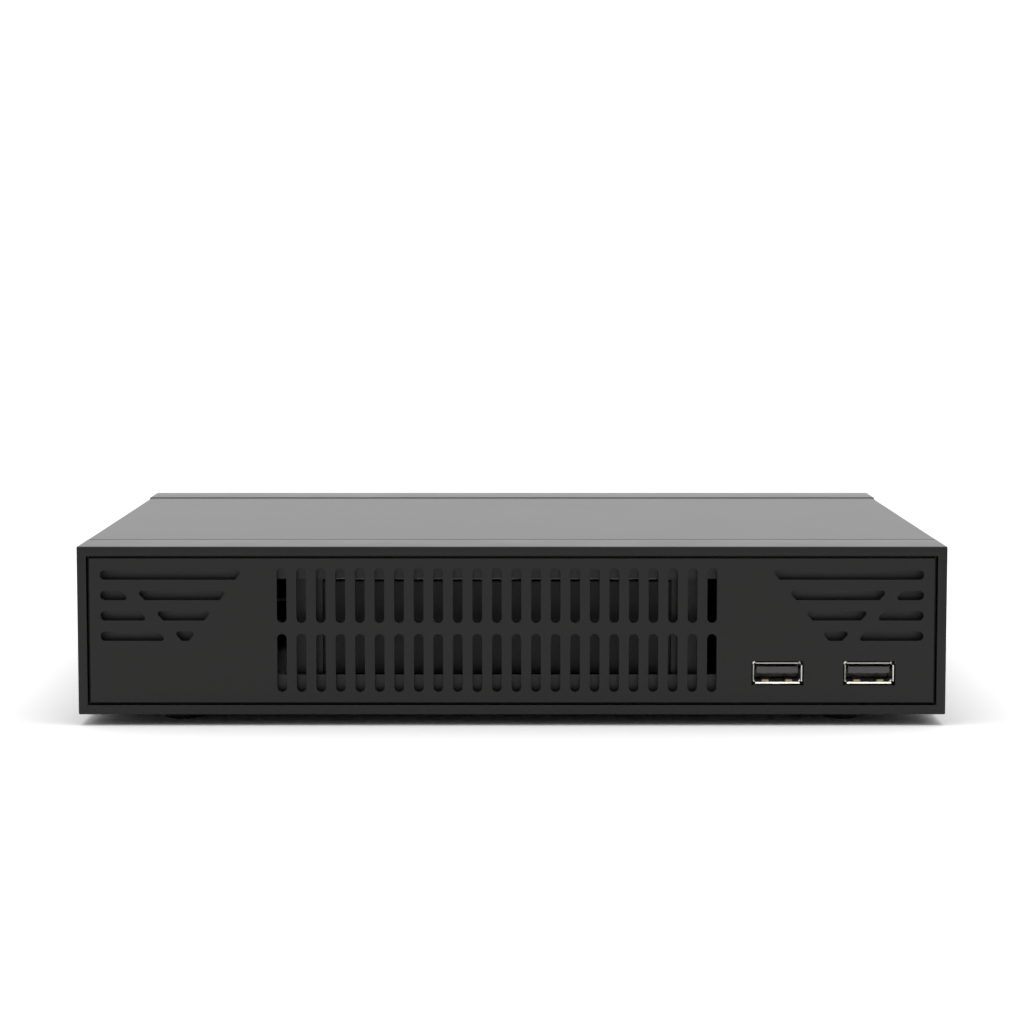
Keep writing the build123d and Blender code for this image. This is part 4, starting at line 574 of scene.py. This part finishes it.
def grown(tree, points, **values):
    """The mesh that a tree makes on a cloud of points."""
    mesh = bpy.data.meshes.new(tree.name + "_points")
    mesh.from_pydata([tuple(point) for point in points], [], [])
    work = bpy.data.objects.new(tree.name + "_work", mesh)
    bpy.context.scene.collection.objects.link(work)
    modifier = work.modifiers.new("repeat", "NODES")
    modifier.node_group = tree
    inputs = [item for item in tree.interface.items_tree if item.in_out == "INPUT"]
    identifiers = {item.name.lower(): item.identifier for item in inputs}
    for name, value in values.items():
        modifier[identifiers[name.replace("_", " ")]] = value
    return baked(work)


def merged(name, meshes):
    """One mesh from several that share a finish."""
    parts = []
    for mesh in meshes:
        vertices = [tuple(vertex.co) for vertex in mesh.vertices]
        parts.append((vertices, [tuple(polygon.vertices) for polygon in mesh.polygons]))
    return combined(name, parts)


def scaled(tree, value, factor):
    """A value times a fixed factor."""
    product = tree.nodes.new("ShaderNodeMath")
    product.operation = "MULTIPLY"
    product.inputs[1].default_value = factor
    tree.links.new(value, product.inputs[0])
    return product.outputs["Value"]


def upward(tree, value):
    """A vector along Z."""
    vector = tree.nodes.new("ShaderNodeCombineXYZ")
    tree.links.new(value, vector.inputs["Z"])
    return vector.outputs["Vector"]


def moved(tree, geometry, offset):
    """Geometry moved by a vector."""
    shift = tree.nodes.new("GeometryNodeTransform")
    tree.links.new(geometry, shift.inputs["Geometry"])
    tree.links.new(offset, shift.inputs["Translation"])
    return shift.outputs["Geometry"]


def cylinder(tree, radius, height, sides):
    """A cylinder about the origin."""
    node = tree.nodes.new("GeometryNodeMeshCylinder")
    node.inputs["Vertices"].default_value = sides
    tree.links.new(radius, node.inputs["Radius"])
    tree.links.new(height, node.inputs["Depth"])
    return node.outputs["Mesh"]


def box_of(tree, size):
    """A box about the origin."""
    node = tree.nodes.new("GeometryNodeMeshCube")
    tree.links.new(size, node.inputs["Size"])
    return node.outputs["Mesh"]


def on_points(tree, points, shape, turn=None):
    """A shape put on each point."""
    spots = tree.nodes.new("GeometryNodeInstanceOnPoints")
    tree.links.new(points, spots.inputs["Points"])
    tree.links.new(shape, spots.inputs["Instance"])
    if turn:
        tree.links.new(turn, spots.inputs["Rotation"])
    return spots.outputs["Instances"]


def box_tree(name):
    """A tree that puts one box of a given size on each point."""

    def build(tree, group_in):
        return on_points(tree, group_in.outputs["Geometry"], box_of(tree, group_in.outputs["Size"]))

    sizes = {"Size": ("NodeSocketVector", (MM, MM, MM)), "Material": ("NodeSocketMaterial", None)}
    return repeat_tree(name, sizes, build)


def pillar_tree(name):
    """A tree that stands one round pillar on each point."""

    def build(tree, group_in):
        height = group_in.outputs["Height"]
        pillar = cylinder(tree, group_in.outputs["Radius"], height, sides=40)
        standing = moved(tree, pillar, upward(tree, scaled(tree, height, 0.5)))
        return on_points(tree, group_in.outputs["Geometry"], standing)

    sizes = {
        "Radius": ("NodeSocketFloat", MM),
        "Height": ("NodeSocketFloat", MM),
        "Material": ("NodeSocketMaterial", None),
    }
    return repeat_tree(name, sizes, build)


def screw_tree():
    """A tree that puts a pan-head screw with a cross recess on each point, its top at the point."""
    crown = 0.82  # radius of the head's top over that of its rim
    slot_length, slot_width, slot_depth = 2.7 * MM, 0.6 * MM, 1.9 * MM

    def build(tree, group_in):
        head = tree.nodes.new("GeometryNodeMeshCone")
        head.inputs["Vertices"].default_value = 32
        radius, height = group_in.outputs["Head radius"], group_in.outputs["Head height"]
        tree.links.new(scaled(tree, radius, crown), head.inputs["Radius Top"])
        tree.links.new(radius, head.inputs["Radius Bottom"])
        tree.links.new(height, head.inputs["Depth"])
        under_top = upward(tree, scaled(tree, height, -1.0))
        recess = tree.nodes.new("GeometryNodeMeshBoolean")
        recess.operation = "DIFFERENCE"
        tree.links.new(moved(tree, head.outputs["Mesh"], under_top), recess.inputs["Mesh 1"])
        for size in ((slot_length, slot_width, slot_depth), (slot_width, slot_length, slot_depth)):
            cutter = tree.nodes.new("GeometryNodeMeshCube")
            cutter.inputs["Size"].default_value = size
            tree.links.new(cutter.outputs["Mesh"], recess.inputs["Mesh 2"])
        length = group_in.outputs["Shank length"]
        shank = cylinder(tree, group_in.outputs["Shank radius"], length, sides=24)
        hanging = moved(tree, shank, upward(tree, scaled(tree, length, -0.5)))
        both = tree.nodes.new("GeometryNodeJoinGeometry")
        tree.links.new(recess.outputs["Mesh"], both.inputs["Geometry"])
        tree.links.new(moved(tree, hanging, under_top), both.inputs["Geometry"])
        screw = both.outputs["Geometry"]
        return on_points(tree, group_in.outputs["Geometry"], screw, group_in.outputs["Turn"])

    sizes = {
        "Head radius": ("NodeSocketFloat", 2.5 * MM),
        "Head height": ("NodeSocketFloat", 1.6 * MM),
        "Shank radius": ("NodeSocketFloat", 1.5 * MM),
        "Shank length": ("NodeSocketFloat", 5.0 * MM),
        "Turn": ("NodeSocketRotation", None),
        "Material": ("NodeSocketMaterial", None),
    }
    return repeat_tree("cross_head_screws", sizes, build)


def scatter_tree():
    """A tree that scatters small boxes over a rectangle of board."""
    emptied = 0.36  # share of the places that are left empty

    def build(tree, group_in):
        grid = tree.nodes.new("GeometryNodeMeshGrid")
        for name in ("Size X", "Size Y", "Vertices X", "Vertices Y"):
            tree.links.new(group_in.outputs[name], grid.inputs[name])
        drawn = tree.nodes.new("FunctionNodeRandomValue")
        drawn.data_type = "BOOLEAN"
        drawn.inputs["Probability"].default_value = emptied
        tree.links.new(group_in.outputs["Seed"], drawn.inputs["Seed"])
        thinned = tree.nodes.new("GeometryNodeDeleteGeometry")
        thinned.domain = "POINT"
        tree.links.new(grid.outputs["Mesh"], thinned.inputs["Geometry"])
        tree.links.new(picked(drawn.outputs, "BOOLEAN"), thinned.inputs["Selection"])
        spots = moved(tree, thinned.outputs["Geometry"], group_in.outputs["Centre"])
        turned = tree.nodes.new("FunctionNodeRandomValue")
        turned.data_type = "INT"
        picked(turned.inputs, "INT", "Min").default_value = 0
        picked(turned.inputs, "INT", "Max").default_value = 1
        tree.links.new(group_in.outputs["Seed"], turned.inputs["Seed"])
        turn = upward(tree, scaled(tree, picked(turned.outputs, "INT"), QUARTER))
        return on_points(tree, spots, box_of(tree, group_in.outputs["Size"]), turn)

    sizes = {
        "Size X": ("NodeSocketFloat", 10 * MM),
        "Size Y": ("NodeSocketFloat", 10 * MM),
        "Vertices X": ("NodeSocketInt", 8),
        "Vertices Y": ("NodeSocketInt", 6),
        "Centre": ("NodeSocketVector", (0, 0, 0)),
        "Size": ("NodeSocketVector", (MM, MM, MM)),
        "Seed": ("NodeSocketInt", 1),
        "Material": ("NodeSocketMaterial", None),
    }
    return repeat_tree("small_parts", sizes, build)


# ---------------------------------------------------------------- stage
def add_camera(scene, stage):
    """The camera, placed from the top front edge of the front frame."""
    low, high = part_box("front_frame")
    pitch = stage.pitch
    forward = Vector((0.0, math.cos(pitch), -math.sin(pitch)))
    up = Vector((0.0, math.sin(pitch), math.cos(pitch)))
    edge = Vector((0.0, low.y, high.z))
    camera = bpy.data.objects.new("camera", bpy.data.cameras.new("camera"))
    camera.location = edge - forward * stage.distance - up * stage.rise
    camera.rotation_euler = (QUARTER - pitch, 0.0, 0.0)
    camera.data.lens = stage.lens
    camera.data.sensor_width = SENSOR_WIDTH
    camera.data.shift_y = stage.shift
    camera.data.clip_start = 0.01
    scene.collection.objects.link(camera)
    scene.camera = camera
    scene.view_settings.view_transform = "Standard"


def add_room(scene, stage):
    """White surroundings, dimmer in front of the recorder than behind and above it."""
    world = bpy.data.worlds.new("studio")
    world.use_nodes = True
    scene.world = world
    tree = world.node_tree
    background = tree.nodes["Background"]
    facing = tree.nodes.new("ShaderNodeVectorMath")
    facing.operation = "DOT_PRODUCT"
    facing.inputs[1].default_value = BRIGHT_SIDE
    tree.links.new(tree.nodes.new("ShaderNodeTexCoord").outputs["Generated"], facing.inputs[0])
    room = tree.nodes.new("ShaderNodeMapRange")
    room.interpolation_type = "SMOOTHSTEP"
    room.inputs["From Min"].default_value = DIM_UNTIL
    room.inputs["From Max"].default_value = BRIGHT_FROM
    room.inputs["To Min"].default_value = stage.front
    room.inputs["To Max"].default_value = stage.back
    tree.links.new(facing.outputs["Value"], room.inputs["Value"])
    tree.links.new(room.outputs["Result"], background.inputs["Strength"])
    background.inputs["Color"].default_value = (1, 1, 1, 1)


def add_floor(scene, stage):
    """A plain pale floor at the foot of the recorder."""
    corners = [(x * FLOOR_REACH, y * FLOOR_REACH, 0) for x, y in ((-1, -1), (1, -1), (1, 1), (-1, 1))]
    floor = bpy.data.objects.new("floor", own_mesh("floor", corners, [(0, 1, 2, 3)]))
    scene.collection.objects.link(floor)
    pale = finish(
        "pale_floor", tuple(stage.floor), 0.9, variation=0.0, polish=0.0, depth=0.0, specular=0.0
    )
    floor.data.materials.append(pale)


def add_lamp(scene, stage):
    """A wide soft lamp over the recorder."""
    lamp = bpy.data.lights.new("overhead", "AREA")
    lamp.shape = "RECTANGLE"
    lamp.size, lamp.size_y = LAMP_SIZE
    lamp.energy = stage.overhead
    light = bpy.data.objects.new("overhead", lamp)
    light.location = LAMP_PLACE
    scene.collection.objects.link(light)


# ---------------------------------------------------------------- operators
class RECORDER_OT_stage(bpy.types.Operator):
    """Sets up the camera, the floor and the lights"""

    bl_idname = "recorder.stage"
    bl_label = "Stage"

    def execute(self, context):
        for add in (add_camera, add_room, add_floor, add_lamp):
            add(context.scene, settings().stage)
        return {"FINISHED"}


class RECORDER_OT_casing(bpy.types.Operator):
    """Finishes the end frames, the front panel and the cover"""

    bl_idname = "recorder.casing"
    bl_label = "Casing"

    def execute(self, context):
        case = settings().casing
        moulding = finish(
            "black_moulding",
            tuple(case.moulding),
            case.moulding_roughness,
            grain=0.3,
            depth=0.006,
            variation=0.04,
            polish=0.015,
            wear=0.1,
            specular=0.27,
        )
        paint = finish(
            "cover_powder_coat",
            tuple(case.paint),
            case.paint_roughness,
            grain=0.5,
            depth=0.0012,
            variation=0.03,
            polish=0.004,
            patch=30.0,
        )
        for node in ("front_frame", "rear_frame", "front_panel"):
            eased(node, case.edge, moulding)
        eased("top_cover", case.sheet_edge, paint)
        rubber = finish("foot_rubber", tuple(case.rubber), 0.75, grain=0.2, depth=0.02, specular=0.3)
        dress(rubber, "rubber_feet", "drive_grommets")
        return {"FINISHED"}


class RECORDER_OT_sheets(bpy.types.Operator):
    """Finishes the shield, the rear panel, the chassis and the drive's cage"""

    bl_idname = "recorder.sheets"
    bl_label = "Sheet metal"

    def execute(self, context):
        case = settings().casing
        black = finish(
            "black_sheet", tuple(case.sheet), 0.42, grain=0.35, depth=0.006, variation=0.06, patch=22.0
        )
        galvanised = finish(
            "galvanised_sheet",
            tuple(case.galvanised),
            0.4,
            metallic=1.0,
            grain=0.4,
            depth=0.003,
            variation=0.14,
            patch=7.0,
        )
        eased("rear_panel", case.sheet_edge, black)
        dress(black, "front_shield", "drive_cage")
        dress(galvanised, "chassis_tray", "clinch_nuts")
        return {"FINISHED"}


class RECORDER_OT_screws(bpy.types.Operator):
    """Makes the cross-head screws of the floor, the front panel and the drive"""

    bl_idname = "recorder.screws"
    bl_label = "Screws"

    def execute(self, context):
        case = settings().casing
        zinc = finish("zinc_screws", tuple(case.screw), 0.28, 1.0, grain=0.15, depth=0.002, patch=1.5)
        black = finish("black_screws", tuple(case.black_screw), 0.35, grain=0.12, depth=0.003, patch=1.5)
        eased("cover_screws", SMALL_EDGE, black)
        tree = screw_tree()
        drive_low, drive_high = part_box("drive_casting")
        for node, axis, head_height, shank_radius in SCREWS:
            solids = islands(node)
            first_low, first_high = solids[0]
            head_radius = (first_high - first_low)[1 if axis == 0 else 0] / 2
            kinds = {}
            for low, high in solids:
                top = (low + high) / 2
                outward = -1 if axis == 0 and top.x < (drive_low.x + drive_high.x) / 2 else 1
                top[axis] = high[axis] if outward > 0 else low[axis]
                kinds.setdefault((round((high - low)[axis] / MM, 2), outward), []).append(top)
            meshes = []
            for (total, outward), tops in sorted(kinds.items()):
                turn = ((0.0, outward * QUARTER, 0.0), (-QUARTER, 0.0, 0.0), (0.0, 0.0, 0.0))[axis]
                screws = grown(
                    tree,
                    tops,
                    head_radius=head_radius,
                    head_height=head_height,
                    shank_radius=shank_radius,
                    shank_length=total * MM - head_height,
                    turn=turn,
                    material=zinc,
                )
                meshes.append(screws)
            crossed = merged(node + "_crossed", meshes)
            add_piece(node + "_crossed", crossed, zinc, CASE, SLOT_OF[node], node)
        return {"FINISHED"}


class RECORDER_OT_sockets(bpy.types.Operator):
    """Finishes the rear sockets and makes the USB shells"""

    bl_idname = "recorder.sockets"
    bl_label = "Sockets"

    def execute(self, context):
        look = settings().sockets
        nickel = finish(
            "nickel_plate",
            tuple(look.nickel),
            0.2,
            metallic=1.0,
            grain=0.12,
            depth=0.0015,
            variation=0.05,
            patch=4.0,
        )
        black = finish("socket_black", tuple(look.black), 0.42, grain=0.2, depth=0.006, patch=6.0)
        gold = finish(
            "gold_plate", tuple(look.gold), 0.22, 1.0, grain=0.12, depth=0.001, variation=0.05, patch=2.0
        )
        bronze = finish("spring_bronze", tuple(look.bronze), 0.42, 1.0, grain=0.12, depth=0.002, patch=1.0)
        # Painted shade: a darkened copy of the gold plate for the USB contacts, which stands in for the
        # shade they lie in.
        painted_shade_contact = finish("usb_contact_gold_painted_shade", tuple(look.contact_painted_shade), 0.5, 1.0, grain=0.12, depth=0.002, patch=1.0)
        white = finish(
            "socket_white", tuple(look.white), 0.38, grain=0.3, depth=0.003, variation=0.03, patch=3.0
        )
        blue = finish(
            "socket_blue", tuple(look.blue), 0.38, grain=0.25, depth=0.004, variation=0.05, patch=5.0
        )
        grey = finish("tongue_grey", tuple(look.tongue), 0.3, grain=0.2, depth=0.003, patch=2.0)
        for node in PLATED_NODES:
            eased(node, PLATED_EDGE, nickel)
        for node in ("dc_jack", "switch_housing", "power_rocker", "lan_insert"):
            eased(node, MOULDED_EDGE, black)
        dress(nickel, "dc_pin")
        dress(black, "bnc_housings", "rca_housing", "hdmi_tongue", "cell_holder", "lead_plugs")
        eased("usb_tongues", TONGUE_EDGE, grey, segments=3)
        dress(gold, "bnc_contacts", "lan_contacts")
        dress(bronze, "usb_springs")
        dress(painted_shade_contact, "usb_contacts")
        eased("rca_insulators", FINE_EDGE, white)
        eased("bnc_insulators", FINE_EDGE, white)
        eased("vga_insert", SMALL_EDGE, blue)
        shells = []
        for low, high in islands("usb_shells"):
            faces_front = (low.y + high.y) / 2 < 0
            shells += usb_shell(low, high, look.usb_lip, 1 if faces_front else -1)
        shell_mesh = combined("usb_lipped_shells", shells)
        shell_mesh.shade_smooth()
        shell_mesh.set_sharp_from_angle(angle=FOLD_ANGLE)
        add_piece("usb_lipped_shells", shell_mesh, nickel, CASE, SLOT_OF["usb_shells"], "usb_shells")
        return {"FINISHED"}


class RECORDER_OT_boards(bpy.types.Operator):
    """Finishes the boards and makes the chips' legs, the small parts and the capacitors"""

    bl_idname = "recorder.boards"
    bl_label = "Boards"

    def execute(self, context):
        look = settings().board
        board = circuit_board("board_green", tuple(look.mask))
        epoxy = finish("chip_epoxy", tuple(look.epoxy), 0.5, grain=0.15, depth=0.006, patch=3.0)
        ferrite = finish("ferrite_grey", tuple(look.ferrite), 0.6, grain=0.2, depth=0.01, patch=2.0)
        tin = finish("tinned_metal", tuple(look.tin), 0.25, 1.0, grain=0.12, depth=0.003, patch=1.0)
        aluminium = finish(
            "can_aluminium", tuple(look.aluminium), 0.24, 1.0, grain=0.2, depth=0.002, patch=3.0
        )
        sleeve = finish("can_sleeve", tuple(look.sleeve), 0.25, grain=0.4, depth=0.002, patch=3.0, coat=0.3)
        ceramic = finish("ceramic_buff", tuple(look.ceramic), 0.5, grain=0.1, depth=0.003, patch=0.8)
        anodised = finish(
            "black_anodised", tuple(look.anodised), 0.38, 0.5, grain=0.12, depth=0.004, patch=8.0
        )
        brass = finish("standoff_brass", tuple(look.brass), 0.28, 1.0, grain=0.15, depth=0.002, patch=2.0)
        dress(board, "main_board", "drive_board")
        dress(epoxy, "soc_package", "board_chips")
        dress(ferrite, "inductors")
        dress(aluminium, "coin_cell")
        eased("soc_heatsink", MOULDED_EDGE, anodised)
        dress(brass, "board_standoffs")

        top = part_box("main_board")[1].z
        pillars = pillar_tree("capacitor_cans")
        cans = islands("capacitors")
        feet = [((low.x + high.x) / 2, (low.y + high.y) / 2, top) for low, high in cans]
        low, high = cans[0]
        radius, height = (high.x - low.x) / 2, high.z - low.z
        sleeves = grown(pillars, feet, radius=radius, height=height - CAN_STEP, material=sleeve)
        tops = grown(pillars, feet, radius=radius - CAN_RIM, height=height, material=aluminium)
        add_piece("capacitor_sleeves", sleeves, sleeve, CASE, SLOT_OF["capacitors"], "capacitors")
        add_piece("capacitor_tops", tops, aluminium, CASE, SLOT_OF["capacitors"])

        legs, pitch = [], look.lead_pitch
        for low, high in islands("board_chips"):
            count = int((high.y - low.y - pitch) / pitch)
            start = (low.y + high.y) / 2 - (count - 1) * pitch / 2
            for x in (low.x - LEG_OUT, high.x + LEG_OUT):
                legs += [(x, start + i * pitch, top + LEG_UP) for i in range(count)]
        leg_mesh = grown(box_tree("chip_legs"), legs, size=LEG_SIZE, material=tin)
        add_piece("chip_legs", leg_mesh, tin, CASE, SLOT_OF["board_chips"])

        scatter, length = scatter_tree(), look.part_length
        for layer, size, material in (
            ("small_part_ends", (length, length * 0.5, length * 0.3), tin),
            ("small_part_bodies", (length * 0.62, length * 0.52, length * 0.34), ceramic),
        ):
            meshes = []
            for index, (x, y, width, depth) in enumerate(PART_FIELDS):
                columns = max(2, int(math.sqrt(look.part_count * width / depth)))
                field = grown(
                    scatter,
                    [(0, 0, 0)],
                    size_x=width * MM,
                    size_y=depth * MM,
                    vertices_x=columns,
                    vertices_y=max(2, look.part_count // columns),
                    centre=(x * MM, y * MM, top + size[2] / 2),
                    size=size,
                    seed=look.seed + index,
                    material=material,
                )
                meshes.append(field)
            add_piece(layer, merged(layer, meshes), material, CASE, SLOT_OF["board_chips"])
        return {"FINISHED"}


class RECORDER_OT_drive(bpy.types.Operator):
    """Finishes the hard drive and its leads"""

    bl_idname = "recorder.drive"
    bl_label = "Hard drive"

    def execute(self, context):
        look = settings().drive
        casting = finish(
            "drive_casting_black", tuple(look.casting), 0.45, 0.2, grain=0.5, depth=0.012, patch=9.0
        )
        lid = finish(
            "drive_lid_steel", tuple(look.lid), 0.3, 1.0, grain=0.12, depth=0.002, stretch=(0.06, 1, 1)
        )
        aluminium = finish("actuator_aluminium", tuple(look.arm), 0.32, 1.0, grain=0.2, depth=0.002)
        steel = finish("magnet_nickel", tuple(look.magnet), 0.25, 1.0, grain=0.2, depth=0.002)
        red = finish("red_sleeve", tuple(look.red), 0.38, grain=0.4, depth=0.004, patch=4.0)
        black = finish("black_sleeve", tuple(look.black), 0.42, grain=0.3, depth=0.004, patch=4.0)
        dress(casting, "drive_casting")
        eased("drive_lid", FINE_EDGE, lid)
        dress(mirror_disc("disc_mirror"), "drive_platters")
        dress(aluminium, "drive_actuator")
        dress(steel, "drive_magnets")
        dress(red, "drive_leads")
        dress(black, "fan_lead")
        return {"FINISHED"}


class RECORDER_OT_fan(bpy.types.Operator):
    """Finishes the fan"""

    bl_idname = "recorder.fan"
    bl_label = "Fan"

    def execute(self, context):
        look = settings().drive
        plastic = finish("fan_plastic", tuple(look.fan), 0.34, grain=0.3, depth=0.003, patch=6.0)
        eased("fan_frame", MOULDED_EDGE, plastic)
        eased("fan_rotor", FINE_EDGE, plastic)
        return {"FINISHED"}


class RECORDER_PT_panel(bpy.types.Panel):
    """Shows a button for each step that makes the recorder"""

    bl_idname = "RECORDER_PT_panel"
    bl_label = "Recorder"
    bl_space_type = "VIEW_3D"
    bl_region_type = "UI"
    bl_category = "Recorder"

    def draw(self, context):
        for operator in OPERATORS:
            self.layout.operator(operator.bl_idname)


OPERATORS = (
    RECORDER_OT_stage,
    RECORDER_OT_casing,
    RECORDER_OT_sheets,
    RECORDER_OT_screws,
    RECORDER_OT_sockets,
    RECORDER_OT_boards,
    RECORDER_OT_drive,
    RECORDER_OT_fan,
)
SETTINGS = (CasingSettings, SocketSettings, BoardSettings, DriveSettings, StageSettings, RecorderSettings)
CLASSES = (*SETTINGS, *OPERATORS, RECORDER_PT_panel)


def register():
    """Registers the classes and the settings."""
    for cls in CLASSES:
        bpy.utils.register_class(cls)
    bpy.types.Scene.recorder = PointerProperty(type=RecorderSettings)


def unregister():
    """Removes the settings and the classes."""
    del bpy.types.Scene.recorder
    for cls in reversed(CLASSES):
        bpy.utils.unregister_class(cls)


def main():
    """Makes the whole recorder and its stage."""
    register()
    for operator in OPERATORS:
        group, name = operator.bl_idname.split(".")
        getattr(getattr(bpy.ops, group), name)()


if __name__ == "__main__":
    main()
